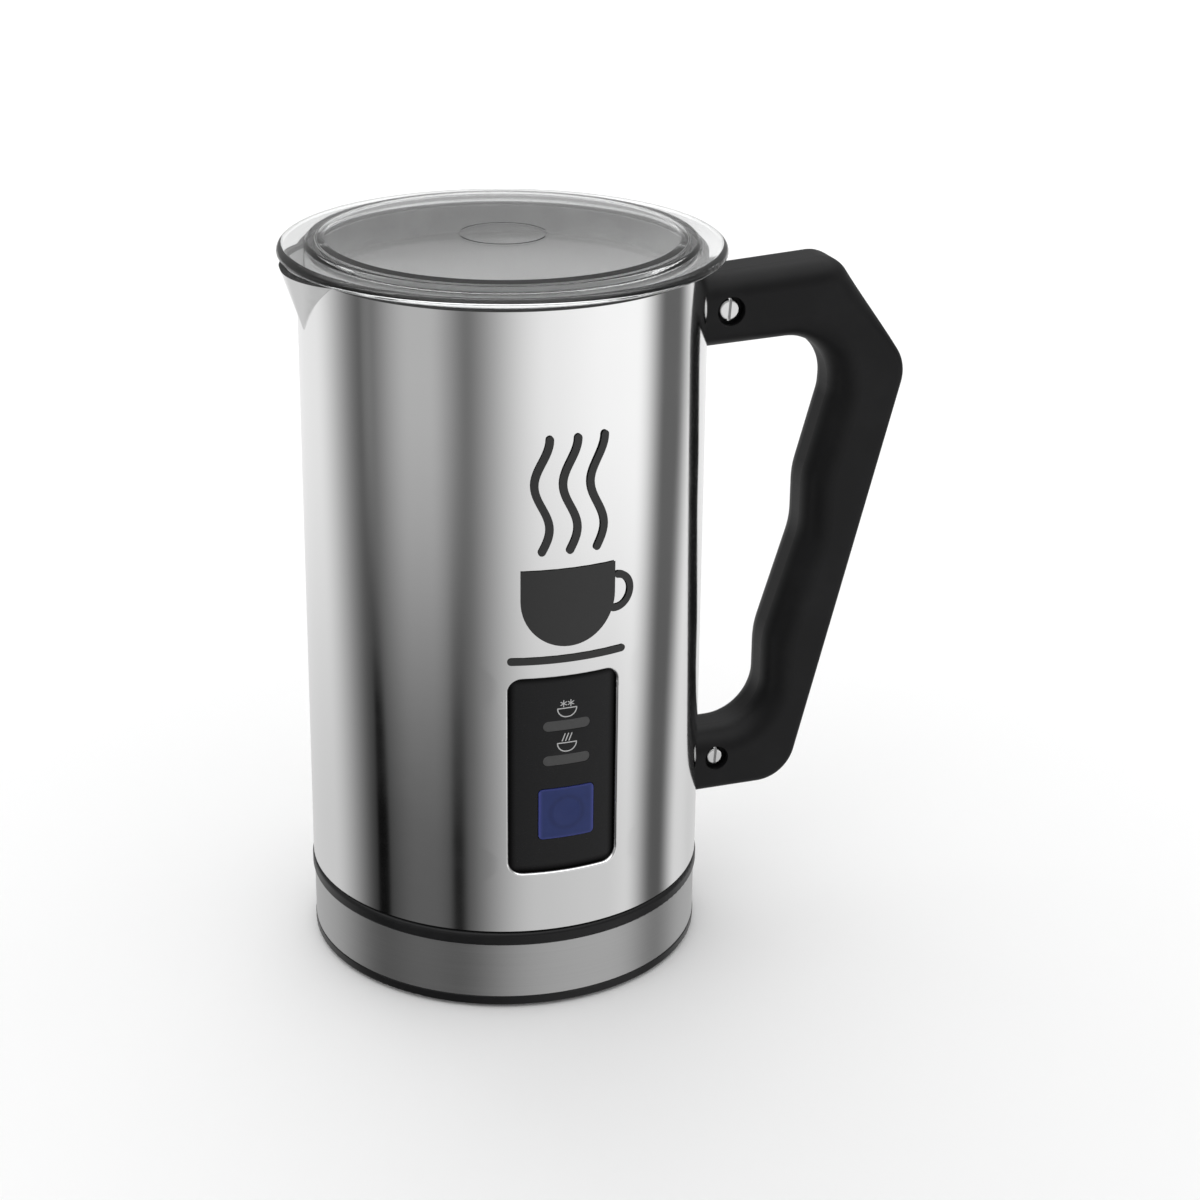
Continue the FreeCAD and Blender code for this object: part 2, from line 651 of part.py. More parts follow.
def motor_bracket():
    """Stamped bracket that hangs the motor under the heater plate."""
    z0 = BRACKET_Z1 - BRACKET_T
    shapes = [tube(15.0, 4.2, z0, BRACKET_Z1)]
    for _, _, angle in around(3, BRACKET_RING_R, 90):
        arm = block(13.0, BRACKET_RING_R + 4.0, -4.0, 4.0, z0, BRACKET_Z1)
        arm.rotate(V(), Z_AXIS, angle)
        shapes.append(arm)
    plate = union(shapes)
    for x, y, _ in around(3, BRACKET_RING_R, 90):
        plate = plate.cut(cylinder(1.6, z0 - 1, BRACKET_Z1 + 1, x, y))
    for x in (-MOTOR_SCREW_X, MOTOR_SCREW_X):
        plate = plate.cut(cylinder(1.2, z0 - 1, BRACKET_Z1 + 1, x, 0))
    return plate


def bracket_screws():
    """Three screws from the bracket into the heater plate's pillars."""
    z0 = BRACKET_Z1 - BRACKET_T
    screws = []
    for x, y, _ in around(3, BRACKET_RING_R, 90):
        screws.append(cylinder(2.6, z0 - 1.6, z0, x, y).fuse(cylinder(1.35, z0, 60.0, x, y)))
    return Part.makeCompound(screws)


def motor_can():
    """Small direct-current motor under the bracket."""
    can = turned([(0, MOTOR_Z0), (MOTOR_R, MOTOR_Z0, 1.5), (MOTOR_R, MOTOR_Z1, 0.6), (0, MOTOR_Z1)])
    can = can.fuse(cylinder(4.0, MOTOR_Z1, MOTOR_Z1 + 1.4))
    can = can.cut(cylinder(SHAFT_R + FIT, MOTOR_Z0 + 1.0, MOTOR_Z1 + 3))
    for x in (-MOTOR_SCREW_X, MOTOR_SCREW_X):
        can = can.cut(cylinder(1.0, MOTOR_Z1 - 3.0, MOTOR_Z1 + 1, x, 0))
    return can


def motor_screws():
    """Two screws from the bracket into the motor's face."""
    screws = []
    for x in (-MOTOR_SCREW_X, MOTOR_SCREW_X):
        head = cylinder(1.8, BRACKET_Z1, BRACKET_Z1 + 1.2, x, 0)
        screws.append(head.fuse(cylinder(0.95, MOTOR_Z1 - 2.8, BRACKET_Z1, x, 0)))
    return Part.makeCompound(screws)


def rotor_shaft():
    """Motor shaft that carries the driving magnets."""
    return cylinder(SHAFT_R, MOTOR_Z0 + 1.2, ROTOR_Z0 + 2.5)


def rotor_disc():
    """Carrier on the motor shaft, with four pockets for magnets."""
    disc = turned([(0, ROTOR_Z0), (ROTOR_R, ROTOR_Z0, 0.8), (ROTOR_R, ROTOR_Z1, 0.4), (0, ROTOR_Z1)])
    disc = disc.cut(cylinder(SHAFT_R, ROTOR_Z0 - 1, ROTOR_Z0 + 2.5))
    for x, y, _ in around(4, DRIVE_MAGNET_RING_R, 45):
        disc = disc.cut(cylinder(DRIVE_MAGNET_R, ROTOR_Z0 + 1.6, ROTOR_Z1 + 1, x, y))
    return disc


def rotor_magnets():
    """Four magnets in the carrier."""
    magnets = []
    for x, y, _ in around(4, DRIVE_MAGNET_RING_R, 45):
        magnets.append(cylinder(DRIVE_MAGNET_R - FIT, ROTOR_Z0 + 1.6, ROTOR_Z1 - 0.1, x, y))
    return Part.makeCompound(magnets)


# ---------------------------------------------------------------- whisk
def whisk_pin():
    """Round pin that stands on the vessel's floor and centres the whisk."""
    z0 = BOWL_FLOOR_Z + 0.1
    return turned([(0, z0), (4.5, z0), (4.5, z0 + 0.8), (PIN_R, z0 + 2.6),
                   (PIN_R, PIN_TOP, 1.0), (0, PIN_TOP)])


def whisk_frame():
    """Hub with a sleeve over the pin, four spokes, a rim for the coil and two magnet pods."""
    z0 = WHISK_Z0
    bore_r = PIN_R + FIT
    rim_in = WHISK_RIM_R - WHISK_RIM_T
    hub = turned([(bore_r, z0), (HUB_R, z0), (HUB_R, z0 + 3.0), (HUB_R - 1.6, z0 + 5.0),
                  (HUB_R - 1.6, HUB_TOP, 0.5), (bore_r, HUB_TOP)])
    rim = turned([(rim_in, z0 + 0.6), (WHISK_RIM_R, z0 + 0.6, 0.3), (WHISK_RIM_R, z0 + 3.0, 0.3),
                  (rim_in, z0 + 3.0)])
    shapes = [hub, rim]
    for _, _, angle in around(4, POD_RING_R, 0):
        spoke = block(HUB_R - 0.8, rim_in + 0.6, -1.2, 1.2, z0 + 0.8, z0 + 2.6)
        spoke.rotate(V(), Z_AXIS, angle)
        shapes.append(spoke)
    for x, y, _ in around(2, POD_RING_R, 0):
        shapes.append(cylinder(POD_R, z0 + 0.4, z0 + 3.2, x, y))
    frame = union(shapes)
    for x, y, _ in around(2, POD_RING_R, 0):
        frame = frame.cut(cylinder(WHISK_MAGNET_R, z0 + 1.1, z0 + 4, x, y))
    return frame


def whisk_magnets():
    """Two magnets in the whisk's pods."""
    magnets = []
    for x, y, _ in around(2, POD_RING_R, 0):
        magnets.append(cylinder(WHISK_MAGNET_R - FIT, WHISK_Z0 + 1.1, WHISK_Z0 + 3.1, x, y))
    return Part.makeCompound(magnets)


def whisk_coil():
    """Envelope of the wire coil that runs round the whisk's rim."""
    return Part.makeTorus(COIL_RING_R, COIL_R, V(0, 0, COIL_Z), Z_AXIS)


# ---------------------------------------------------------------- lid
def lid_cover():
    """Clear lid: wide flange, low dome with a sloped shoulder, and a skirt down into the mouth."""
    under = DOME_Z - LID_T
    skirt_in = SKIRT_R - LID_T - 0.7
    groove_z = DOME_Z - 0.3
    return turned([(0, under), (skirt_in, under, 0.6), (skirt_in, SKIRT_Z0), (SKIRT_R - 0.6, SKIRT_Z0),
                   (SKIRT_R, SKIRT_Z0 + 0.6), (SKIRT_R, LID_Z0, 0.4), (LID_R, LID_Z0, 0.3),
                   (LID_R, LID_Z1, 1.8), (DOME_R0, LID_Z1, 0.4), (DOME_R0 - 0.8, LID_Z1 + 1.1, 0.5),
                   (DOME_R1, DOME_Z, 1.5),
                   (LID_GROOVE_R, DOME_Z), (LID_GROOVE_R, groove_z), (LID_GROOVE_R - 0.45, groove_z),
                   (LID_GROOVE_R - 0.45, DOME_Z), (0, DOME_Z)])


def lid_gasket():
    """Silicone ring round the skirt, with two sealing lips."""
    r = SKIRT_R + 0.02
    web = r + 0.5
    seal = BOWL_R_TOP - BOWL_T - GAP
    z0 = SKIRT_Z0 + 1.5
    profile = [(r, z0)]
    for low in (z0, z0 + 4.0):
        profile += [(web, low), (seal, low + 1.0), (seal, low + 1.8), (web, low + 2.8)]
    return turned(profile + [(web, z0 + 7.6), (r, z0 + 7.6)])


# ---------------------------------------------------------------- build
add("base_floor", base_floor())
add("base_band", base_band())
add("base_deck", base_deck())
add("rubber_foot_ring", foot_ring())
add("base_screws", base_screws())
add("cord_inlet", cord_inlet())
add("connector_plug", connector_plug())
add("connector_contacts", connector_contacts())
add("jug_shell", jug_shell())
add("milk_bowl", milk_bowl())
add("jug_bottom", jug_bottom())
add("connector_socket", connector_socket())
add("socket_contacts", socket_contacts())
add("panel_plate", panel_plate())
add("cold_light_window", light_window(LIGHT_Z[0]))
add("warm_light_window", light_window(LIGHT_Z[1]))
add("push_button", push_button())
add("control_board", control_board())
add("board_screws", board_screws())
add("switch_body", switch_body())
add("switch_plunger", switch_plunger())
add("indicator_leds", indicator_leds())
add("handle", handle())
add("upper_handle_lug", handle_lug(0))
add("lower_handle_lug", handle_lug(1))
add("handle_screws", handle_screws())
add("heater_plate", heater_plate())
add("heating_element", heating_element())
add("thermal_cutout", thermal_cutout())
add("thermistor", thermistor())
add("motor_bracket", motor_bracket())
add("bracket_screws", bracket_screws())
add("motor_can", motor_can())
add("motor_screws", motor_screws())
add("rotor_shaft", rotor_shaft())
add("rotor_disc", rotor_disc())
add("rotor_magnets", rotor_magnets())
add("whisk_pin", whisk_pin())
add("whisk_frame", whisk_frame())
add("whisk_magnets", whisk_magnets())
add("whisk_coil", whisk_coil())
add("lid_cover", lid_cover())
add("lid_gasket", lid_gasket())

os.makedirs("parts", exist_ok=True)
for node, shape in PARTS.items():
    shape.exportStep("parts/" + node + ".step")
    valid = shape.isValid() and all(s.isValid() and s.Volume > 0 for s in shape.Solids)
    print(f"{node:20s} solids {len(shape.Solids)} volume {shape.Volume:10.1f} valid {valid}")
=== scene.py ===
"""Looks, light and camera for the milk frother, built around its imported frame.

Metres, in the frame's own axes: the jug's axis is Z, the control panel faces -Y, the handle is on +X
and the pouring lip on -X.
"""

import logging
import math
from collections.abc import Iterable, Sequence
from dataclasses import dataclass
from enum import Enum

import bmesh
import bpy
from mathutils import Matrix, Vector


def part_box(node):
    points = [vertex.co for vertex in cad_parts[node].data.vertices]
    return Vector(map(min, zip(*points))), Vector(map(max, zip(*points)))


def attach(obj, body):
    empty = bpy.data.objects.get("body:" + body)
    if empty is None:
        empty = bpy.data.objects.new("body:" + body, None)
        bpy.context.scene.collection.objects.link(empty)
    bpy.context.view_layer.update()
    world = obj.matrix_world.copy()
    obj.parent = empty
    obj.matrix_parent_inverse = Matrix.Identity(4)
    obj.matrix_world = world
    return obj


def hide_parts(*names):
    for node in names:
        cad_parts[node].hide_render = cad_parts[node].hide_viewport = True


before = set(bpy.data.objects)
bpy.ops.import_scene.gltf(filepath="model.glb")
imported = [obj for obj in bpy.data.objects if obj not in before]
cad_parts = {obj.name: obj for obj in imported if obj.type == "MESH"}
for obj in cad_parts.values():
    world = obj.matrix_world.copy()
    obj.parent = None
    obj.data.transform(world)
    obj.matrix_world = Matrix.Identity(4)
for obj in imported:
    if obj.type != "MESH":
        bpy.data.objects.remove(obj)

MM = 0.001
WHITE = (1.0, 1.0, 1.0, 1.0)
Triple = tuple[float, float, float]
Rgba = tuple[float, float, float, float]
Outline = list[Vector]
log = logging.getLogger("milk_frother")


def grey(level: float) -> Rgba:
    """Neutral colour of one level."""
    return (level, level, level, 1.0)


def shade(colour: Triple, factor: float = 1.0, lift: float = 0.0) -> Rgba:
    """Opaque colour with its channels scaled, then lifted."""
    return (*[channel * factor + lift for channel in colour], 1.0)


# ---------------------------------------------------------------- shader graph
class Operation(Enum):
    """Operations of the Math node, by what they do here."""

    ADD = "ADD"
    SUBTRACT = "SUBTRACT"
    MULTIPLY = "MULTIPLY"
    DIVIDE = "DIVIDE"
    POWER = "POWER"
    SIZE = "ABSOLUTE"
    LARGER = "MAXIMUM"
    BEARING = "ARCTAN2"
    FOLD = "PINGPONG"


class Signal:
    """A number or vector socket that takes part in Python expressions."""

    def __init__(self, graph: "Graph", socket: bpy.types.NodeSocket) -> None:
        """Wraps an output socket of a graph's node."""
        self.graph = graph
        self.socket = socket

    def __add__(self, other: "Signal | float") -> "Signal":
        """self + other."""
        return self.graph.maths(Operation.ADD, self, other)

    def __radd__(self, other: float) -> "Signal":
        """other + self."""
        return self.graph.maths(Operation.ADD, other, self)

    def __sub__(self, other: "Signal | float") -> "Signal":
        """self - other."""
        return self.graph.maths(Operation.SUBTRACT, self, other)

    def __rsub__(self, other: float) -> "Signal":
        """other - self."""
        return self.graph.maths(Operation.SUBTRACT, other, self)

    def __mul__(self, other: "Signal | float") -> "Signal":
        """self * other."""
        return self.graph.maths(Operation.MULTIPLY, self, other)

    def __rmul__(self, other: float) -> "Signal":
        """other * self."""
        return self.graph.maths(Operation.MULTIPLY, other, self)

    def __truediv__(self, other: "Signal | float") -> "Signal":
        """self / other."""
        return self.graph.maths(Operation.DIVIDE, self, other)

    def __abs__(self) -> "Signal":
        """Absolute value."""
        return self.graph.maths(Operation.SIZE, self)

    def __pow__(self, power: float) -> "Signal":
        """self ** power."""
        return self.graph.maths(Operation.POWER, self, power)

    def larger(self, other: "Signal | float") -> "Signal":
        """The larger of the two."""
        return self.graph.maths(Operation.LARGER, self, other)


class Graph:
    """A node tree that is written as calls and expressions."""

    def __init__(self, tree: bpy.types.NodeTree) -> None:
        """Empties the tree."""
        tree.nodes.clear()
        self.tree = tree

    def node(self, kind: str, settings: dict | None = None, sockets: dict | None = None) -> bpy.types.Node:
        """Adds one node.

        Args:
            kind: the node's type name without its ShaderNode prefix.
            settings: properties of the node, set before its sockets.
            sockets: values, Signals or output sockets, by input name or number.

        Returns:
            The new node.
        """
        made = self.tree.nodes.new("ShaderNode" + kind)
        for name, value in (settings or {}).items():
            setattr(made, name, value)
        for key, value in (sockets or {}).items():
            self._feed(made.inputs[key], value)
        return made

    def _feed(self, socket: bpy.types.NodeSocket, value: object) -> None:
        """Links a value to a socket, or sets it there when it is a plain value.

        Args:
            socket: the input socket.
            value: a Signal, an output socket, a number or a tuple of numbers.
        """
        if isinstance(value, Signal):
            value = value.socket
        if isinstance(value, bpy.types.NodeSocket):
            self.tree.links.new(value, socket)
        else:
            socket.default_value = value

    def maths(self, operation: Operation, *values: "Signal | float") -> Signal:
        """Math node of one operation on its values in order."""
        made = self.node("Math", {"operation": operation.value}, dict(enumerate(values)))
        return Signal(self, made.outputs[0])

    def place(self, scale: Sequence[float] = (1.0, 1.0, 1.0)) -> Signal:
        """Object coordinates for a texture.

        Args:
            scale: how far the coordinates are stretched along each axis.

        Returns:
            The stretched coordinates, which are metres where the scale is 1.
        """
        spot = self.node("TexCoord").outputs["Object"]
        made = self.node("VectorMath", {"operation": "MULTIPLY"}, {0: spot, 1: tuple(scale)})
        return Signal(self, made.outputs[0])

    def axes(self, vector: "Signal | bpy.types.NodeSocket") -> tuple[Signal, Signal, Signal]:
        """The three components of a vector."""
        made = self.node("SeparateXYZ", None, {0: vector})
        return tuple(Signal(self, out) for out in made.outputs)

    def noise(self, where: Signal, scale: float, detail: float = 3.0, rough: float = 0.55) -> Signal:
        """Fractal noise from 0 to 1."""
        sockets = {"Vector": where, "Scale": scale, "Detail": detail, "Roughness": rough}
        return Signal(self, self.node("TexNoise", None, sockets).outputs[0])

    def cells(self, where: Signal, scale: float) -> Signal:
        """Distance to the nearest point of a random scatter."""
        sockets = {"Vector": where, "Scale": scale}
        return Signal(self, self.node("TexVoronoi", None, sockets).outputs["Distance"])

    def step(self, value: Signal, low: float, high: float, bottom: float = 0.0, top: float = 1.0) -> Signal:
        """Smooth change between two results.

        Args:
            value: what decides the change.
            low: the value where the change starts.
            high: the value where it ends.
            bottom: the result up to low.
            top: the result from high on.

        Returns:
            The result at the value.
        """
        sockets = {"Value": value, "From Min": low, "From Max": high, "To Min": bottom, "To Max": top}
        made = self.node("MapRange", {"interpolation_type": "SMOOTHSTEP"}, sockets)
        return Signal(self, made.outputs["Result"])

    def blend(
        self, factor: Signal, first: "Rgba | bpy.types.NodeSocket", second: "Rgba | bpy.types.NodeSocket"
    ) -> bpy.types.NodeSocket:
        """Colour that goes from first to second as the factor goes from 0 to 1."""
        made = self.node("Mix", {"data_type": "RGBA"}, {0: factor, 6: first, 7: second})
        return made.outputs[2]

    def bump(
        self, height: Signal, strength: float, distance: float, normal: bpy.types.NodeSocket | None = None
    ) -> bpy.types.NodeSocket:
        """Normal of a bumped surface.

        Args:
            height: the bump's height field.
            strength: how much of the bump shows.
            distance: the height's full range in metres.
            normal: the smooth surface's normal, when it isn't the mesh's own.

        Returns:
            The Bump node's output socket.
        """
        sockets = {"Height": height, "Strength": strength, "Distance": distance}
        if normal is not None:
            sockets["Normal"] = normal
        return self.node("Bump", None, sockets).outputs["Normal"]


# ---------------------------------------------------------------- finishes
@dataclass(frozen=True)
class Finish:
    """A surface finish. Subclasses say what feeds the Principled shader."""

    name: str

    def feeds(self, graph: Graph) -> dict:
        """Values and links of the Principled shader's sockets, by name."""
        raise NotImplementedError

    def material(self) -> bpy.types.Material:
        """Makes the finish's material once, and then shares it.

        Returns:
            The material of the finish's name.
        """
        made = bpy.data.materials.get(self.name)
        if made is None:
            made = bpy.data.materials.new(self.name)
            made.use_nodes = True
            graph = Graph(made.node_tree)
            shader = graph.node("BsdfPrincipled", None, self.feeds(graph))
            graph.node("OutputMaterial", None, {"Surface": shader.outputs[0]})
        return made


@dataclass(frozen=True)
class PolishedSteel(Finish):
    """Mirror-polished stainless steel with faint wipe marks."""

    level: float = 0.83
    gloss: float = 0.07
    smudge_density: float = 38.0
    hairline_grain: Triple = (60.0, 60.0, 5200.0)
    hairline_depth: float = 0.02 * MM

    def feeds(self, graph: Graph) -> dict:
        """Near-mirror metal with fine hairlines round the wall and soft smudges.

        Args:
            graph: the material's node graph.

        Returns:
            Values and links of the shader's sockets, by name.
        """
        smudge = graph.noise(graph.place(), self.smudge_density, 4.0, 0.6)
        hairs = graph.noise(graph.place(self.hairline_grain), 1.0, 2.0)
        tint = graph.blend(smudge, grey(self.level * 0.985), grey(self.level))
        return {
            "Base Color": tint,
            "Metallic": 1.0,
            "Roughness": self.gloss + 0.035 * graph.step(smudge, 0.35, 0.75) + 0.02 * hairs,
            "Normal": graph.bump(hairs, 0.06, self.hairline_depth, self.smooth_normal(graph)),
        }

    def smooth_normal(self, graph: Graph) -> bpy.types.NodeSocket | None:
        """Normal of the smooth surface; none means the mesh's own."""
        return None


@dataclass(frozen=True)
class WallSteel(PolishedSteel):
    """Polished steel of a tapered round wall about Z, shaded as a true cone however its mesh is cut.

    The cone is given by its radius at two heights. A surface counts as the wall up to on_wall away
    from the cone, and as something else from off_wall on.
    """

    low_z: float = 0.0
    low_radius: float = 1.0
    high_z: float = 1.0
    high_radius: float = 1.0
    on_wall: float = 0.08 * MM
    off_wall: float = 0.3 * MM

    def smooth_normal(self, graph: Graph) -> bpy.types.NodeSocket:
        """The cone's normal on the wall, and the mesh's own a little inside or outside it.

        Args:
            graph: the material's node graph.

        Returns:
            The normal's output socket.
        """
        x, y, z = graph.axes(graph.place())
        radius = (x * x + y * y) ** 0.5
        slope = (self.high_radius - self.low_radius) / (self.high_z - self.low_z)
        depth = abs(radius - ((z - self.low_z) * slope + self.low_radius))
        off_wall = graph.step(depth, self.on_wall, self.off_wall)
        outward = graph.node("CombineXYZ", None, {0: x / radius, 1: y / radius, 2: -slope}).outputs[0]
        settings = {"vector_type": "NORMAL", "convert_from": "OBJECT", "convert_to": "WORLD"}
        true_normal = graph.node("VectorTransform", settings, {0: outward}).outputs[0]
        mesh_normal = graph.node("NewGeometry").outputs["Normal"]
        mixed = graph.node("Mix", {"data_type": "VECTOR"}, {0: off_wall, 4: true_normal, 5: mesh_normal})
        return graph.node("VectorMath", {"operation": "NORMALIZE"}, {0: mixed.outputs[1]}).outputs[0]


class Grain(Enum):
    """How closely a brushed or satin grain is packed along each axis."""

    ROUND_THE_BAND = (24.0, 24.0, 7000.0)
    FINE_SATIN = (900.0, 900.0, 900.0)
    COARSE_SATIN = (500.0, 500.0, 500.0)


@dataclass(frozen=True)
class BrushedSteel(Finish):
    """Stainless steel with a brushed or satin grain."""

    level: float = 0.5
    gloss: float = 0.3
    grain: Grain = Grain.ROUND_THE_BAND
    broad_share: float = 0.22

    def feeds(self, graph: Graph) -> dict:
        """Streaks that vary in level, gloss and height across the grain.

        Args:
            graph: the material's node graph.

        Returns:
            Values and links of the shader's sockets, by name.
        """
        fine = graph.noise(graph.place(self.grain.value), 1.0, 3.0, 0.7)
        broad = graph.noise(graph.place([size * self.broad_share for size in self.grain.value]), 1.0, 2.0)
        streak = fine * 0.7 + broad * 0.3
        return {
            "Base Color": graph.blend(streak, grey(self.level * 0.86), grey(self.level * 1.12)),
            "Metallic": 1.0,
            "Roughness": self.gloss + 0.16 * (streak - 0.5),
            "Normal": graph.bump(fine, 0.25, 0.03 * MM),
        }


@dataclass(frozen=True)
class MouldedPlastic(Finish):
    """Moulded plastic or rubber with a spark-eroded grain."""

    colour: Triple = (0.02, 0.02, 0.021)
    gloss: float = 0.4
    grain_size: float = 0.35 * MM
    grain_depth: float = 0.01 * MM
    specular: float = 0.5
    wear_density: float = 55.0

    def feeds(self, graph: Graph) -> dict:
        """Fine rounded grain with a little unevenness in gloss and shade.

        Args:
            graph: the material's node graph.

        Returns:
            Values and links of the shader's sockets, by name.
        """
        grain = graph.noise(graph.place(), 1.0 / self.grain_size, 2.0, 0.5)
        wear = graph.noise(graph.place(), self.wear_density, 3.0, 0.6)
        worn = shade(self.colour, 1.35, 0.002)
        return {
            "Base Color": graph.blend(graph.step(wear, 0.4, 0.8), shade(self.colour), worn),
            "Roughness": self.gloss + 0.12 * (wear - 0.5) + 0.05 * (grain - 0.5),
            "Specular IOR Level": self.specular,
            "Normal": graph.bump(grain, 0.5, self.grain_depth),
        }


@dataclass(frozen=True)
class PanelGloss(Finish):
    """Smooth black fascia plastic, with painted shade darkening it towards its sunk edge, where its coat also
    fades.
    """

    centre: Triple = (0.0, 0.0, 0.0)
    half_size: tuple[float, float] = (14.0 * MM, 28.0 * MM)
    painted_shade_width: float = 2.2 * MM
    colour: Triple = (0.005, 0.005, 0.0055)
    painted_edge_shade: float = 0.001
    gloss: float = 0.24
    peel_density: float = 420.0
    scratch_grain: Triple = (90.0, 90.0, 2600.0)

    def feeds(self, graph: Graph) -> dict:
        """Gloss black with orange peel, fine scratches and painted shade along the sunk edge.

        Args:
            graph: the material's node graph.

        Returns:
            Values and links of the shader's sockets, by name.
        """
        x, _, z = graph.axes(graph.place())
        side = self.half_size[0] - abs(x - self.centre[0])
        end = self.half_size[1] - abs(z - self.centre[2])
        # Painted shade: a band along the sunk edge is darkened to near-black, and the coat fades there too.
        away_from_painted_shade = graph.step(side, 0.0, self.painted_shade_width) * graph.step(end, 0.0, self.painted_shade_width)
        peel = graph.noise(graph.place(), self.peel_density, 2.0, 0.5)
        scratch = graph.noise(graph.place(self.scratch_grain), 1.0, 2.0, 0.8)
        fine = graph.step(scratch, 0.62, 0.8)
        lit = graph.blend(peel, shade(self.colour), shade(self.colour, 1.3))
        return {
            "Base Color": graph.blend(away_from_painted_shade, grey(self.painted_edge_shade), lit),
            "Specular IOR Level": 0.04,
            "Roughness": self.gloss + 0.1 * fine + 0.05 * peel,
            "Coat Weight": away_from_painted_shade * 0.42,
            "Coat Roughness": 0.25,
            "Normal": graph.bump(peel, 0.12, 0.05 * MM),
        }


@dataclass(frozen=True)
class ButtonBlue(Finish):
    """Translucent blue button with a painted highlight on its edges and a ring of painted shade in its finger
    dish.
    """

    centre: Triple = (0.0, 0.0, 0.0)
    half_width: float = 7.7 * MM
    rim_highlight_share: float = 0.84
    dish_radius: float = 4.6 * MM
    dish_line: float = 1.1 * MM
    dish_shade_strength: float = 0.35
    deep_blue: Rgba = (0.011, 0.021, 0.1, 1.0)
    pale_blue: Rgba = (0.016, 0.029, 0.125, 1.0)
    dish_shade_blue: Rgba = (0.006, 0.011, 0.055, 1.0)
    rim_highlight_violet: Rgba = (0.035, 0.045, 0.2, 1.0)

    def feeds(self, graph: Graph) -> dict:
        """Blue with a painted violet highlight at the rim of the cap and a ring of painted shade round the
        dish.

        Args:
            graph: the material's node graph.

        Returns:
            Values and links of the shader's sockets, by name.
        """
        x, _, z = graph.axes(graph.place())
        across = abs(x - self.centre[0])
        up = abs(z - self.centre[2])
        # Painted highlight: the colour lightens to violet in a band round the cap's edge.
        rim = graph.step(across.larger(up), self.half_width * self.rim_highlight_share, self.half_width)
        span = (across * across + up * up) ** 0.5
        # Painted shade: a ring round the finger dish is darkened.
        dish = 1.0 - graph.step(abs(span - self.dish_radius), 0.0, self.dish_line)
        haze = graph.noise(graph.place(), 260.0, 3.0)
        field = graph.blend(haze, self.deep_blue, self.pale_blue)
        dish_shaded = graph.blend(dish * self.dish_shade_strength, field, self.dish_shade_blue)
        return {
            "Base Color": graph.blend(rim, dish_shaded, self.rim_highlight_violet),
            "Specular IOR Level": 0.3,
            "Roughness": 0.34 + 0.08 * haze,
            "Subsurface Weight": 0.15,
            "Subsurface Radius": (0.4, 0.5, 1.0),
            "Subsurface Scale": 1.0 * MM,
            "Normal": graph.bump(haze, 0.1, 0.04 * MM),
        }


@dataclass(frozen=True)
class ClearPlastic(Finish):
    """Clear moulded plastic with faint flow marks, and frosted up to a height."""

    tint: Triple = (0.93, 0.935, 0.935)
    gloss: float = 0.03
    refraction: float = 1.49
    scuff_grain: Triple = (300.0, 1700.0, 300.0)
    frosted_z: float = 0.0
    frost_fade: float = 1.2 * MM
    frost_level: float = 0.4

    def feeds(self, graph: Graph) -> dict:
        """Transmitting plastic with slight waves, hair-fine scratches and a frosted lower edge.

        Args:
            graph: the material's node graph.

        Returns:
            Values and links of the shader's sockets, by name.
        """
        flow = graph.noise(graph.place(), 24.0, 2.0, 0.4)
        scuff = graph.noise(graph.place(self.scuff_grain), 1.0, 3.0, 0.7)
        height = graph.axes(graph.place())[2]
        frost = 1.0 - graph.step(height, self.frosted_z, self.frosted_z + self.frost_fade)
        clear = graph.blend(flow, shade(self.tint, 0.97), shade(self.tint))
        return {
            "Base Color": graph.blend(frost, clear, grey(self.frost_level)),
            "Roughness": self.gloss + 0.04 * graph.step(scuff, 0.55, 0.85) + 0.6 * frost,
            "IOR": self.refraction,
            "Transmission Weight": 1.0,
            "Normal": graph.bump(flow, 0.05, 0.2 * MM),
        }


@dataclass(frozen=True)
class SmokedWindow(Finish):
    """Smoked diffusing plastic over an indicator light."""

    level: float = 0.05
    cloud_density: float = 900.0

    def feeds(self, graph: Graph) -> dict:
        """Grey satin plastic with milky clouding.

        Args:
            graph: the material's node graph.

        Returns:
            Values and links of the shader's sockets, by name.
        """
        cloud = graph.noise(graph.place(), self.cloud_density, 3.0, 0.6)
        return {
            "Base Color": graph.blend(cloud, grey(self.level * 0.85), grey(self.level * 1.15)),
            "Roughness": 0.38 + 0.1 * cloud,
            "Specular IOR Level": 0.4,
            "Normal": graph.bump(cloud, 0.1, 0.02 * MM),
        }


@dataclass(frozen=True)
class CastMetal(Finish):
    """Cast aluminium surface with an even speckle."""

    level: float = 0.55
    gloss: float = 0.5
    metal: float = 0.9
    speck_density: float = 900.0
    speck_depth: float = 0.05 * MM

    def feeds(self, graph: Graph) -> dict:
        """Speckled grey that is mostly metallic.

        Args:
            graph: the material's node graph.

        Returns:
            Values and links of the shader's sockets, by name.
        """
        grit = graph.cells(graph.place(), self.speck_density)
        cloud = graph.noise(graph.place(), 30.0, 3.0)
        return {
            "Base Color": graph.blend(cloud, grey(self.level * 0.94), grey(self.level * 1.06)),
            "Metallic": self.metal,
            "Roughness": self.gloss + 0.08 * cloud,
            "Normal": graph.bump(grit, 0.2, self.speck_depth),
        }


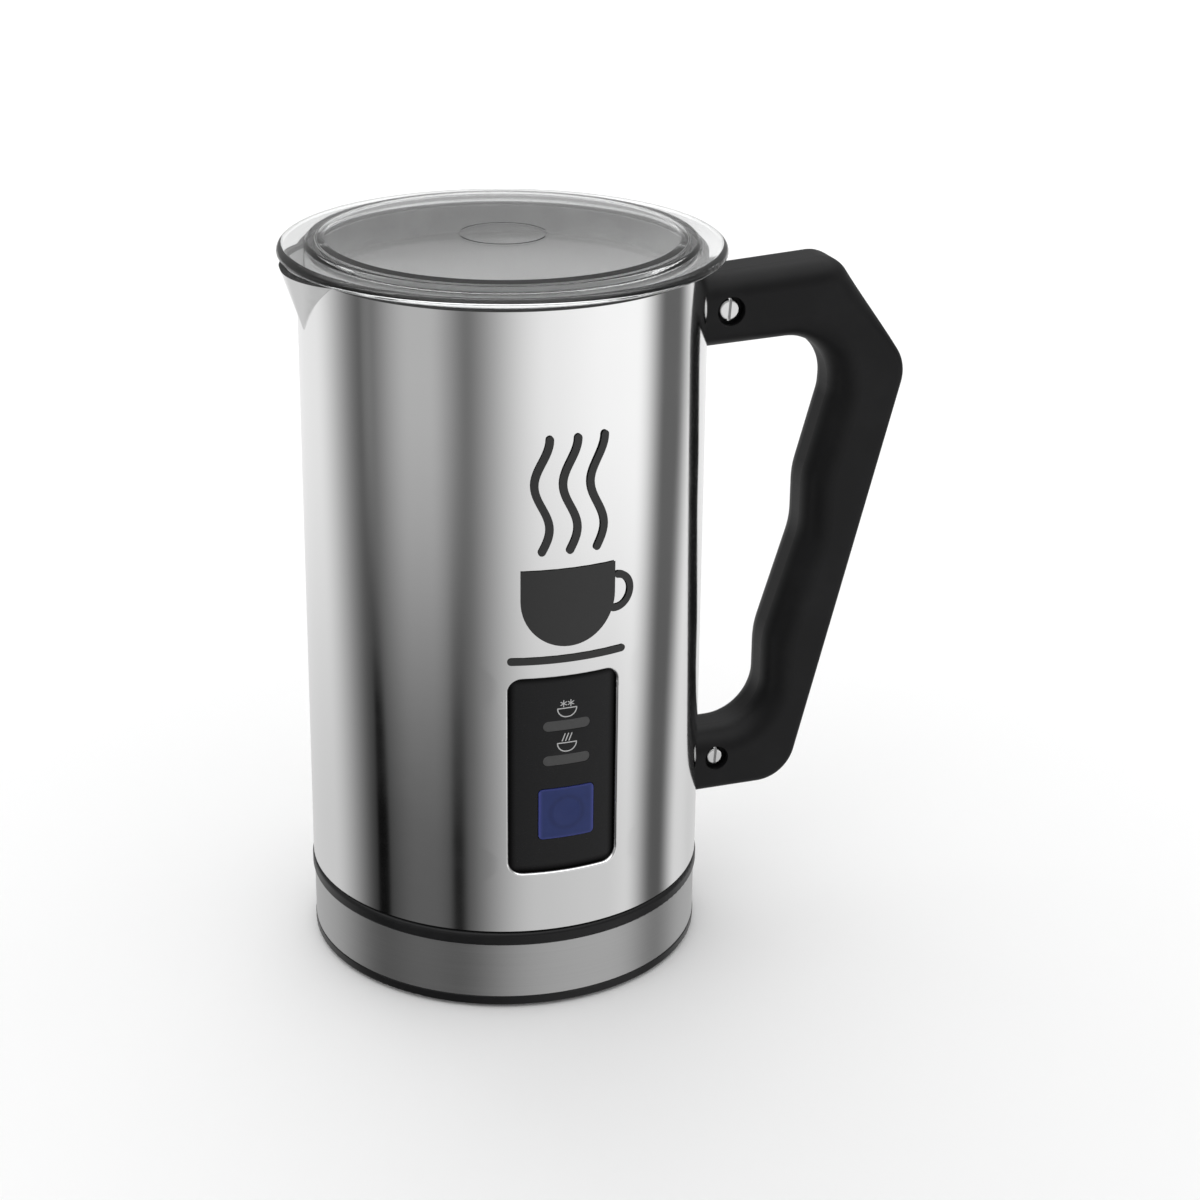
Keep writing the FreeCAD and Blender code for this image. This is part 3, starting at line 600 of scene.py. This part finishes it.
@dataclass(frozen=True)
class BowlCoating(Finish):
    """Sprayed coating of the inner vessel, with painted light: its floor, cone and upper wall get different
    levels that stand in for how light falls into it, and its rim a dark band of painted shade.

    The cone lies between two heights. The shade changes over floor_fade below it, and over the
    two heights of wall_fade above it.
    """

    cone: tuple[float, float] = (0.0, 1.0)
    rim_z: float = 1.0
    floor_fade: float = 4 * MM
    wall_fade: tuple[float, float] = (3 * MM, 12 * MM)
    rim_shade_band: float = 0.3 * MM
    unevenness: float = 1.5
    rim_shade_level: float = 0.05
    # Levels of painted light: the wall, cone and floor are set lighter or darker for the light that reaches
    # each.
    wall_level: float = 0.82
    cone_level: float = 0.4
    floor_level: float = 0.66
    speck_density: float = 1500.0

    def feeds(self, graph: Graph) -> dict:
        """Speckled grey with painted light: a soft change of level at the cone, and a dark band of painted
        shade on the rim.

        Args:
            graph: the material's node graph.

        Returns:
            Values and links of the shader's sockets, by name.
        """
        z = graph.axes(graph.place())[2]
        grit = graph.cells(graph.place(), self.speck_density)
        cloud = graph.noise(graph.place(), 30.0, 3.0)
        height = z + cloud * self.unevenness * MM
        low, high = self.cone
        # Painted light: floor, cone and upper wall get their own levels in place of the light that falls on
        # each.
        on_cone = graph.step(height, low - self.floor_fade, low)
        below = graph.blend(on_cone, grey(self.floor_level), grey(self.cone_level))
        on_wall = graph.step(height, high + self.wall_fade[0], high + self.wall_fade[1])
        coat = graph.blend(on_wall, below, grey(self.wall_level))
        # Painted shade: a dark band at the top of the rim, under the lid's flange.
        rim = graph.step(z, self.rim_z - self.rim_shade_band, self.rim_z)
        return {
            "Base Color": graph.blend(rim, coat, grey(self.rim_shade_level)),
            "Roughness": 0.75 + 0.1 * cloud,
            "Specular IOR Level": 0.08,
            "Normal": graph.bump(grit, 0.2, 0.02 * MM),
        }


@dataclass(frozen=True)
class ColouredMetal(Finish):
    """Bright machined metal of one colour, such as brass or nickel."""

    colour: Triple = (0.72, 0.52, 0.22)
    gloss: float = 0.22
    tarnish_density: float = 420.0

    def feeds(self, graph: Graph) -> dict:
        """Metal with a thin tarnish in patches.

        Args:
            graph: the material's node graph.

        Returns:
            Values and links of the shader's sockets, by name.
        """
        tarnish = graph.step(graph.noise(graph.place(), self.tarnish_density, 4.0, 0.6), 0.45, 0.8)
        return {
            "Base Color": graph.blend(tarnish, shade(self.colour), shade(self.colour, 0.62)),
            "Metallic": 1.0,
            "Roughness": self.gloss + 0.25 * tarnish,
        }


@dataclass(frozen=True)
class BoardFinish(Finish):
    """Green circuit board with tracks under its lacquer."""

    pitch: float = 1.6 * MM
    lacquer_green: Rgba = (0.012, 0.09, 0.035, 1.0)
    track_green: Rgba = (0.05, 0.2, 0.07, 1.0)

    def feeds(self, graph: Graph) -> dict:
        """Lacquer whose shade shows a grid of copper tracks.

        Args:
            graph: the material's node graph.

        Returns:
            Values and links of the shader's sockets, by name.
        """
        x, _, z = graph.axes(graph.place())
        bars = [graph.maths(Operation.FOLD, axis, self.pitch) / self.pitch for axis in (x, z)]
        track = graph.step(bars[0].larger(bars[1]), 0.78, 0.86)
        return {
            "Base Color": graph.blend(track, self.lacquer_green, self.track_green),
            "Roughness": 0.3,
            "Coat Weight": 0.4,
            "Normal": graph.bump(track, 0.4, 0.04 * MM),
        }


@dataclass(frozen=True)
class PrintInk(Finish):
    """Screen-printed ink."""

    level: float = 0.02
    gloss: float = 0.45
    weave_density: float = 2600.0

    def feeds(self, graph: Graph) -> dict:
        """Ink with a slight mesh texture and uneven cover.

        Args:
            graph: the material's node graph.

        Returns:
            Values and links of the shader's sockets, by name.
        """
        weave = graph.noise(graph.place(), self.weave_density, 2.0)
        return {
            "Base Color": graph.blend(weave, grey(self.level * 0.88), grey(self.level * 1.12)),
            "Roughness": self.gloss + 0.1 * weave,
            "Normal": graph.bump(weave, 0.15, 0.01 * MM),
        }


@dataclass(frozen=True)
class FloorPaint(Finish):
    """Plain pale floor with a barely visible change of tone."""

    low: float = 0.91
    high: float = 0.93

    def feeds(self, graph: Graph) -> dict:
        """Matt near-white."""
        tone = graph.noise(graph.place(), 6.0, 2.0)
        return {"Base Color": graph.blend(tone, grey(self.low), grey(self.high)), "Roughness": 0.8}


BRASS = ColouredMetal("brass")
NICKEL = ColouredMetal("nickel", colour=(0.6, 0.58, 0.55), gloss=0.2)


# ---------------------------------------------------------------- geometry helpers
def arc(centre: tuple[float, float], radius: float, start: float, end: float, steps: int = 16) -> Outline:
    """Points on an arc.

    Args:
        centre: the arc's centre.
        radius: its radius.
        start: the first point's angle in degrees from the x axis.
        end: the last point's angle.
        steps: how many straight runs stand for the arc.

    Returns:
        The points from start to end.
    """
    points = []
    for number in range(steps + 1):
        angle = math.radians(start + (end - start) * number / steps)
        points.append(Vector((centre[0] + radius * math.cos(angle), centre[1] + radius * math.sin(angle))))
    return points


def stroke(path: Outline, width: float, cap_steps: int = 6) -> Outline:
    """Closed outline of a line of one width along a path, with round ends.

    Args:
        path: the line's points.
        width: the line's full width.
        cap_steps: how many straight runs stand for each round end.

    Returns:
        The outline's points in order.
    """
    half = width / 2
    left, right = [], []
    for number, point in enumerate(path):
        before = path[max(number - 1, 0)]
        after = path[min(number + 1, len(path) - 1)]
        along = (after - before).normalized()
        side = Vector((-along.y, along.x)) * half
        left.append(point + side)
        right.append(point - side)
    caps = []
    for point, inner in ((path[-1], path[-2]), (path[0], path[1])):
        along = (point - inner).normalized()
        turn = math.degrees(math.atan2(along.y, along.x))
        caps.append(arc(point, half, turn + 90, turn - 90, cap_steps)[1:-1])
    return left + caps[0] + right[::-1] + caps[1]


def linked_object(name: str, data: bpy.types.Mesh) -> bpy.types.Object:
    """Makes an object of a mesh and links it to the scene.

    Args:
        name: the object's name.
        data: its mesh.

    Returns:
        The new object.
    """
    made = bpy.data.objects.new(name, data)
    bpy.context.scene.collection.objects.link(made)
    return made


def mesh_object(name: str, mesh: bmesh.types.BMesh) -> bpy.types.Object:
    """Turns a bmesh into a linked object, and frees it.

    Args:
        name: the name of the object and its mesh.
        mesh: the shape.

    Returns:
        The new object.
    """
    data = bpy.data.meshes.new(name)
    mesh.to_mesh(data)
    mesh.free()
    return linked_object(name, data)


def wire_object(name: str, points: Iterable[Vector], radius: float) -> bpy.types.Object:
    """Round wire along a closed line, as a smooth mesh.

    Args:
        name: the name of the object and its mesh.
        points: the line's points.
        radius: the wire's radius.

    Returns:
        The new object.
    """
    curve = bpy.data.curves.new(name, "CURVE")
    curve.dimensions = "3D"
    curve.bevel_depth = radius
    curve.bevel_resolution = 2
    spline = curve.splines.new("POLY")
    points = list(points)
    spline.points.add(len(points) - 1)
    for target, point in zip(spline.points, points):
        target.co = (*point, 1.0)
    spline.use_cyclic_u = True
    draft = bpy.data.objects.new(name + "_draft", curve)
    data = bpy.data.meshes.new_from_object(draft)
    bpy.data.objects.remove(draft)
    data.name = name
    for polygon in data.polygons:
        polygon.use_smooth = True
    return linked_object(name, data)


@dataclass
class WrappedPrint:
    """Flat drawing laid on a drum whose axis is Z, facing -Y, as a thin raised layer."""

    name: str
    radius: float
    thickness: float
    shapes: list[Outline]
    strip_width: float = 1.0 * MM
    weld_distance: float = 1e-7

    def piece(self) -> bpy.types.Object:
        """Builds the raised layer.

        Returns:
            The layer as one object.
        """
        mesh = bmesh.new()
        for outline in self.shapes:
            self._raise(mesh, outline)
        bmesh.ops.recalc_face_normals(mesh, faces=mesh.faces)
        return mesh_object(self.name, mesh)

    def _raise(self, mesh: bmesh.types.BMesh, outline: Outline) -> None:
        """Adds one outline as a closed slab, cut into strips so that it can bend.

        Args:
            mesh: the layer's mesh, which grows by the slab.
            outline: the slab's outline on the unrolled drum.
        """
        face = mesh.faces.new([mesh.verts.new((point.x, 0.0, point.y)) for point in outline])
        low = min(point.x for point in outline)
        high = max(point.x for point in outline)
        geometry = [face, *face.edges, *face.verts]
        strips = max(1, math.ceil((high - low) / self.strip_width))
        for number in range(1, strips):
            place = (low + (high - low) * number / strips, 0, 0)
            cut = bmesh.ops.bisect_plane(
                mesh, geom=geometry, dist=self.weld_distance, plane_co=place, plane_no=(1, 0, 0)
            )
            geometry = cut["geom"]
        faces = [part for part in geometry if isinstance(part, bmesh.types.BMFace)]
        result = bmesh.ops.extrude_face_region(mesh, geom=faces, use_keep_orig=True)
        top = [part for part in result["geom"] if isinstance(part, bmesh.types.BMVert)]
        bottom = {vert for part in faces for vert in part.verts}
        for verts, radius in ((bottom, self.radius), (top, self.radius + self.thickness)):
            for vert in verts:
                angle = vert.co.x / self.radius
                vert.co = Vector((radius * math.sin(angle), -radius * math.cos(angle), vert.co.z))


def dress(node: str, finish: Finish) -> None:
    """Gives a CAD node a finish.

    Args:
        node: the node's name.
        finish: what it is finished in.
    """
    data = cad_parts[node].data
    data.materials.clear()
    data.materials.append(finish.material())
    log.info("dressed %s in %s", node, finish.name)


def add_piece(piece: bpy.types.Object, body: str, finish: Finish) -> None:
    """Gives a new piece its finish and the body that it rides on.

    Args:
        piece: the new object.
        body: the name of the body that carries it.
        finish: what it is finished in.
    """
    piece.data.materials.clear()
    piece.data.materials.append(finish.material())
    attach(piece, body)
    log.info("built %s on %s", piece.name, body)


# ---------------------------------------------------------------- sub-assemblies
class SubAssembly:
    """One sub-assembly: it finishes its CAD nodes, and may add pieces of its own."""

    def dress(self) -> None:
        """Finishes the sub-assembly's CAD nodes."""
        raise NotImplementedError

    def build(self) -> None:
        """Adds the pieces that its CAD nodes don't hold: none, unless a subclass has some."""


@dataclass
class PowerBase(SubAssembly):
    """Round base: brushed band between two black rings, with the connector in its deck."""

    black: Finish = MouldedPlastic("base_black", colour=(0.007, 0.007, 0.0075), gloss=0.36, specular=0.25)
    band: Finish = BrushedSteel("band_brushed", gloss=0.36)
    rubber: Finish = MouldedPlastic(
        "rubber", colour=(0.016, 0.016, 0.016), gloss=0.7, grain_size=0.5 * MM, grain_depth=0.02 * MM
    )
    screws: Finish = BrushedSteel("zinc_screw", level=0.6, gloss=0.35, grain=Grain.FINE_SATIN)

    def dress(self) -> None:
        """Finishes the base's CAD nodes."""
        for node in ("base_floor", "base_deck", "connector_plug"):
            dress(node, self.black)
        for node in ("rubber_foot_ring", "cord_inlet"):
            dress(node, self.rubber)
        dress("base_band", self.band)
        dress("base_screws", self.screws)
        dress("connector_contacts", BRASS)


@dataclass
class Jug(SubAssembly):
    """Steel jug with its inner vessel, and the cup with steam that is printed on its front.

    Heights in the print are measured from print_low, and those of the vessel's cone from the
    jug's foot.
    """

    cone_low: float = 78 * MM
    cone_high: float = 95 * MM
    print_low: float = 102 * MM
    print_thickness: float = 0.04 * MM
    line: float = 2.0 * MM
    saucer_half: float = 15.5 * MM
    saucer_height: float = 1 * MM
    cup_half: float = 13 * MM
    cup_rim: float = 26 * MM
    cup_centre: float = 17.5 * MM
    ear_centre: float = 13.4 * MM
    ear_radius: float = 4.6 * MM
    steam_low: float = 31 * MM
    steam_rise: float = 30 * MM
    steam_pitch: float = 7.5 * MM
    steam_sway: float = 2.0 * MM
    steam_half_waves: float = 2.5
    steam_line: float = 2.1 * MM
    steam_steps: int = 30

    def dress(self) -> None:
        """Finishes the jug's CAD nodes. The wall is widest at its foot and ends at the vessel's rim."""
        low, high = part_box("jug_shell")
        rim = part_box("milk_bowl")[1]
        steel = WallSteel("jug_polished", low_z=low.z, low_radius=high.y, high_z=high.z, high_radius=rim.y)
        dress("jug_shell", steel)
        cone = (low.z + self.cone_low, low.z + self.cone_high)
        dress("milk_bowl", BowlCoating("bowl_sprayed", cone=cone, rim_z=high.z))
        for node in ("jug_bottom", "connector_socket"):
            dress(node, MouldedPlastic("jug_black"))
        dress("socket_contacts", BRASS)

    def build(self) -> None:
        """Adds the printed cup with steam on the front."""
        radius = -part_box("jug_shell")[0].y
        shapes = self._cup() + self._steam()
        print_layer = WrappedPrint("front_print", radius, self.print_thickness, shapes)
        add_piece(print_layer.piece(), "jug", PrintInk("print_dark", level=0.018))

    def _cup(self) -> list[Outline]:
        """Draws the cup in side view.

        Returns:
            Outlines of the cup, its saucer and its ear.
        """
        rim_z = self.print_low + self.cup_rim
        centre_z = self.print_low + self.cup_centre
        saucer_z = self.print_low + self.saucer_height
        cup = [Vector((-self.cup_half, rim_z)), Vector((self.cup_half, rim_z))]
        cup += arc((0.0, centre_z), self.cup_half, 0, -180, 32)
        ends = (-self.saucer_half, self.saucer_half)
        saucer = stroke([Vector((x, saucer_z)) for x in ends], self.line)
        ear = stroke(arc((self.ear_centre, centre_z), self.ear_radius, 84, -100, 20), self.line)
        return [cup, saucer, ear]

    def _steam(self) -> list[Outline]:
        """Draws the three waved lines above the cup.

        Returns:
            Outlines of the lines.
        """
        lines = []
        for offset in (-self.steam_pitch, 0.0, self.steam_pitch):
            path = []
            for number in range(self.steam_steps + 1):
                share = number / self.steam_steps
                sway = self.steam_sway * math.sin(share * self.steam_half_waves * math.pi)
                height = self.print_low + self.steam_low + self.steam_rise * share
                path.append(Vector((offset + sway, height)))
            lines.append(stroke(path, self.steam_line))
        return lines


@dataclass
class ControlPanel(SubAssembly):
    """Black fascia in the jug's window: two light windows, two printed icons and the button.

    Each icon is a bowl whose rim lies icon_rise above the middle of its light window, with
    snowflakes or steam above it.
    """

    sunk_edge: float = 1.4 * MM
    icon_thickness: float = 0.03 * MM
    icon_line: float = 0.3 * MM
    icon_rise: float = 4.9 * MM
    bowl_width: float = 5.3 * MM
    bowl_depth: float = 2.5 * MM
    flake_offset: float = 1.0 * MM
    flake_height: float = 1.35 * MM
    flake_arm: float = 0.9 * MM
    flake_line_share: float = 0.8
    steam_pitch: float = 0.95 * MM
    steam_height: float = 0.6 * MM
    steam_slant: float = 0.8 * MM
    steam_rise: float = 2.0 * MM

    def dress(self) -> None:
        """Finishes the panel's CAD nodes."""
        low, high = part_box("panel_plate")
        half_size = tuple((high - low).xz / 2 - Vector((self.sunk_edge, self.sunk_edge)))
        dress("panel_plate", PanelGloss("panel_black", tuple((low + high) / 2), half_size))
        for node in ("cold_light_window", "warm_light_window"):
            dress(node, SmokedWindow("smoked_window"))
        low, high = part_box("push_button")
        dress("push_button", ButtonBlue("button_translucent", tuple((low + high) / 2)))
        dress("control_board", BoardFinish("board_lacquer"))
        dress("board_screws", BrushedSteel("small_screw", level=0.6, grain=Grain.FINE_SATIN))
        dress("switch_body", MouldedPlastic("switch_black", gloss=0.5))
        dress("switch_plunger", MouldedPlastic("switch_stem", colour=(0.3, 0.3, 0.28), gloss=0.5))
        dress("indicator_leds", MouldedPlastic("led_resin", colour=(0.7, 0.7, 0.6), gloss=0.25))

    def build(self) -> None:
        """Adds the cold and warm icons above their light windows."""
        radius = -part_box("panel_plate")[0].y
        ink = PrintInk("print_light", level=0.42, gloss=0.5)
        icons = (
            ("cold_icon", "cold_light_window", self._flakes),
            ("warm_icon", "warm_light_window", self._steam),
        )
        for name, window, topping in icons:
            low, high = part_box(window)
            rim_z = (low.z + high.z) / 2 + self.icon_rise
            layer = WrappedPrint(name, radius, self.icon_thickness, self._bowl(rim_z) + topping(rim_z))
            add_piece(layer.piece(), "jug", ink)

    def _bowl(self, rim_z: float) -> list[Outline]:
        """Draws an open bowl with a flat bottom in one line.

        Args:
            rim_z: the height of its rim.

        Returns:
            Outlines of the bowl and its rim.
        """
        half = self.bowl_width / 2
        side = arc((half - self.bowl_depth, rim_z), self.bowl_depth, -6, -90, 12)
        other = [Vector((-point.x, point.y)) for point in reversed(side)]
        rim = stroke([Vector((-half, rim_z)), Vector((half, rim_z))], self.icon_line)
        return [stroke(side + other, self.icon_line), rim]

    def _flakes(self, rim_z: float) -> list[Outline]:
        """Draws two six-armed snowflakes side by side.

        Args:
            rim_z: the height of the rim below them.

        Returns:
            Outlines of their arms.
        """
        lines = []
        for centre_x in (-self.flake_offset, self.flake_offset):
            centre = Vector((centre_x, rim_z + self.flake_height))
            for degrees in (30, 90, 150):
                angle = math.radians(degrees)
                reach = Vector((math.cos(angle), math.sin(angle))) * self.flake_arm
                lines.append(stroke([centre - reach, centre + reach], self.icon_line * self.flake_line_share))
        return lines

    def _steam(self, rim_z: float) -> list[Outline]:
        """Draws three short slanted strokes.

        Args:
            rim_z: the height of the rim below them.

        Returns:
            Outlines of the strokes.
        """
        lines = []
        for middle_x in (-self.steam_pitch, 0.0, self.steam_pitch):
            foot = Vector((middle_x - self.steam_slant / 2, rim_z + self.steam_height))
            lines.append(stroke([foot, foot + Vector((self.steam_slant, self.steam_rise))], self.icon_line))
        return lines


@dataclass
class Handle(SubAssembly):
    """Black side handle with its lugs and slotted screws."""

    grip: Finish = MouldedPlastic(
        "grip_black",
        colour=(0.005, 0.005, 0.0055),
        gloss=0.46,
        grain_size=0.45 * MM,
        grain_depth=0.008 * MM,
        specular=0.22,
    )

    def dress(self) -> None:
        """Finishes the handle's CAD nodes."""
        dress("handle", self.grip)
        for node in ("upper_handle_lug", "lower_handle_lug"):
            dress(node, BrushedSteel("lug_steel", level=0.6, grain=Grain.FINE_SATIN))
        dress("handle_screws", PolishedSteel("screw_steel", level=0.7, gloss=0.16))


@dataclass
class Drive(SubAssembly):
    """Heater, motor and magnetic rotor under the inner vessel."""

    steel: Finish = BrushedSteel("pressed_steel", level=0.62, gloss=0.32, grain=Grain.COARSE_SATIN)
    steel_nodes: tuple[str, ...] = (
        "heating_element",
        "thermal_cutout",
        "motor_bracket",
        "bracket_screws",
        "motor_can",
        "motor_screws",
        "rotor_shaft",
    )

    def dress(self) -> None:
        """Finishes the sealed inner pieces."""
        for node in self.steel_nodes:
            dress(node, self.steel)
        dress("heater_plate", CastMetal("aluminium_cast"))
        dress("thermistor", BRASS)
        dress("rotor_disc", MouldedPlastic("carrier_plastic", colour=(0.2, 0.2, 0.21), gloss=0.45))
        dress("rotor_magnets", NICKEL)


@dataclass
class Whisk(SubAssembly):
    """Whisk that stands on the pin: moulded frame, two magnets and a wire coil."""

    turns: int = 44
    steps_per_turn: int = 12
    wire_radius: float = 0.32 * MM

    def dress(self) -> None:
        """Finishes the whisk's CAD nodes."""
        dress("whisk_pin", PolishedSteel("pin_steel", gloss=0.14))
        dress("whisk_frame", MouldedPlastic("whisk_black", colour=(0.02, 0.02, 0.02), gloss=0.38))
        dress("whisk_magnets", NICKEL)

    def build(self) -> None:
        """Winds the wire coil in the ring that its CAD solid holds."""
        low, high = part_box("whisk_coil")
        middle_z = (low.z + high.z) / 2
        turn_radius = (high.z - low.z) / 2 - self.wire_radius
        ring_radius = high.x - (high.z - low.z) / 2
        points = []
        count = self.turns * self.steps_per_turn
        for number in range(count):
            round_ring = 2 * math.pi * number / count
            round_wire = 2 * math.pi * number / self.steps_per_turn
            reach = ring_radius + turn_radius * math.cos(round_wire)
            height = middle_z + turn_radius * math.sin(round_wire)
            points.append(Vector((reach * math.cos(round_ring), reach * math.sin(round_ring), height)))
        coil = wire_object("whisk_wire", points, self.wire_radius)
        add_piece(coil, "whisk", PolishedSteel("wire_steel", gloss=0.12))
        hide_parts("whisk_coil")


@dataclass
class Lid(SubAssembly):
    """Clear lid with its sealing ring."""

    frosted_height: float = 0.8 * MM
    seal: Finish = MouldedPlastic(
        "silicone_ring", colour=(0.5, 0.5, 0.5), gloss=0.45, grain_size=0.6 * MM, grain_depth=0.005 * MM
    )

    def dress(self) -> None:
        """Finishes the lid's CAD nodes."""
        foot_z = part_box("lid_cover")[0].z
        dress("lid_cover", ClearPlastic("lid_clear", frosted_z=foot_z + self.frosted_height))
        dress("lid_gasket", self.seal)


# ---------------------------------------------------------------- studio
@dataclass(frozen=True)
class Card:
    """A studio panel seen in reflections, as a range of bearings; a level below 0 takes light away.

    Bearings are degrees from -Y towards +X. The panel's level is given just under the horizon and
    further down, its two edges fade over their own spans, and lean is how far the edges move at
    the lower level.
    """

    start: float
    end: float
    fade_in: float
    fade_out: float
    upper: float
    lower: float
    lean: float = 0.0


@dataclass(frozen=True)
class ViewCamera:
    """Camera in front on the left, a little above the lid.

    It stands at a bearing in degrees from -Y towards +X, at a distance from the jug's axis and a
    height in metres. Pan, tilt and roll are radians; its sensor and lens are millimetres.
    """

    bearing: float = -18.0
    distance: float = 0.66717
    height: float = 0.37054
    pan: float = 0.0401
    tilt: float = 0.3876
    roll: float = 0.0125
    sensor: float = 36.0
    lens: float = 77.559
    nearest: float = 0.01

    def place(self) -> None:
        """Sets up the camera and makes it the scene's own."""
        turn = Matrix.Rotation(math.radians(self.bearing), 3, "Z")
        level_ahead = Vector((math.sin(self.pan), math.cos(self.pan), 0.0)) * math.cos(self.tilt)
        ahead = turn @ (level_ahead - Vector((0.0, 0.0, math.sin(self.tilt))))
        right = turn @ Vector((math.cos(self.pan), -math.sin(self.pan), 0.0))
        up = right.cross(ahead)
        right_rolled = right * math.cos(self.roll) + up * math.sin(self.roll)
        up_rolled = up * math.cos(self.roll) - right * math.sin(self.roll)
        axes = Matrix((right_rolled, up_rolled, -ahead)).transposed()
        data = bpy.data.cameras.new("view_camera")
        data.sensor_width = self.sensor
        data.lens = self.lens
        data.clip_start = self.nearest
        made = bpy.data.objects.new("view_camera", data)
        stand = turn @ Vector((0.0, -self.distance, self.height))
        made.matrix_world = Matrix.Translation(stand) @ axes.to_4x4()
        bpy.context.scene.collection.objects.link(made)
        bpy.context.scene.camera = made


@dataclass
class Studio:
    """Pale floor, soft light all round, reflected panels and the camera.

    Slopes and sky spans are the upward share of a reflected ray's direction: 0 is the horizon and
    1 is straight up.
    """

    # start, end, fade_in, fade_out, upper, lower, lean
    cards: tuple[Card, ...] = (
        Card(-190.0, -148.0, 1.0, 46.0, 0.80, 0.66, 8.0),
        Card(-70.0, -60.0, 34.0, 25.0, 0.40, 0.10),
        Card(8.0, 62.0, 54.0, 23.0, 0.82, 0.60, -5.0),
        Card(62.0, 110.0, 20.0, 20.0, 0.02, 0.09),
        Card(45.0, 60.0, 50.0, 24.0, 0.17, 0.07),
        Card(116.0, 190.0, 20.0, 1.0, 0.80, 0.66, -10.0),
        Card(-101.0, -99.0, 4.0, 5.0, 0.06, -0.10, 6.0),
        Card(-46.0, -44.0, 5.0, 6.0, 0.02, -0.06),
    )
    ambient_upper: float = 0.12
    ambient_lower: float = 0.015
    darkest: float = 0.004
    upper_slope: float = -0.29
    lower_slope: float = -0.47
    horizon: tuple[float, float] = (-0.2, 0.0)
    sky_span: tuple[float, float] = (0.45, 0.85)
    low_sky: float = 0.38
    high_sky: float = 1.7
    room_light: float = 1.0
    floor_radius: float = 6.0
    lamp_size: tuple[float, float] = (2.4, 1.4)
    lamp_power: float = 14.0
    lamp_place: Triple = (0.5, 1.9, 1.3)
    lamp_tilt: float = -38.0
    camera: ViewCamera = ViewCamera()

    def build(self) -> None:
        """Sets up the light, the floor, the lamp and the camera."""
        self._light()
        self._floor()
        self._lamp()
        self.camera.place()
        bpy.context.scene.view_settings.view_transform = "Standard"

    def _light(self) -> None:
        """World that lights the room evenly and shows the panels in glossy reflections."""
        world = bpy.data.worlds.new("studio")
        bpy.context.scene.world = world
        world.use_nodes = True
        graph = Graph(world.node_tree)
        x, y, z = graph.axes(graph.node("TexCoord").outputs["Generated"])
        bearing = graph.maths(Operation.BEARING, x, y * -1.0) * math.degrees(1.0)
        height = graph.step(z, self.lower_slope, self.upper_slope)
        level = self.ambient_lower + (self.ambient_upper - self.ambient_lower) * height
        for card in self.cards:
            along = bearing - card.lean * (1.0 - height)
            rise = graph.step(along, card.start - card.fade_in, card.start)
            fall = 1.0 - graph.step(along, card.end, card.end + card.fade_out)
            level = level + rise * fall * (card.lower + (card.upper - card.lower) * height)
        sky = graph.step(z, *self.sky_span, self.low_sky, self.high_sky)
        above = graph.step(z, *self.horizon)
        mirrored = level.larger(self.darkest) * (1.0 - above) + above * sky
        glossy = Signal(graph, graph.node("LightPath").outputs["Is Glossy Ray"])
        strength = mirrored * glossy + (1.0 - glossy) * self.room_light
        back = graph.node("Background", None, {"Color": WHITE, "Strength": strength})
        graph.node("OutputWorld", None, {"Surface": back.outputs[0]})

    def _floor(self) -> None:
        """Plain pale floor that reaches past the camera's view and doesn't show in reflections."""
        mesh = bmesh.new()
        bmesh.ops.create_circle(mesh, cap_ends=True, segments=96, radius=self.floor_radius)
        made = mesh_object("studio_floor", mesh)
        made.data.materials.append(FloorPaint("floor_pale").material())
        made.visible_glossy = False

    def _lamp(self) -> None:
        """One broad soft lamp that lifts the floor behind the object."""
        lamp = bpy.data.lights.new("back_panel", "AREA")
        lamp.shape = "RECTANGLE"
        lamp.size, lamp.size_y = self.lamp_size
        lamp.energy = self.lamp_power
        made = bpy.data.objects.new("back_panel", lamp)
        made.location = self.lamp_place
        made.rotation_euler = (math.radians(self.lamp_tilt), 0, 0)
        made.visible_camera = False
        made.visible_glossy = False
        bpy.context.scene.collection.objects.link(made)


def main() -> None:
    """Builds and dresses each sub-assembly, then sets the studio."""
    logging.basicConfig(level=logging.INFO, format="%(name)s: %(message)s")
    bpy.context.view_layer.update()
    for part in (PowerBase(), Jug(), ControlPanel(), Handle(), Drive(), Whisk(), Lid()):
        part.dress()
        part.build()
        log.info("finished %s", type(part).__name__)
    Studio().build()


if __name__ == "__main__":
    main()
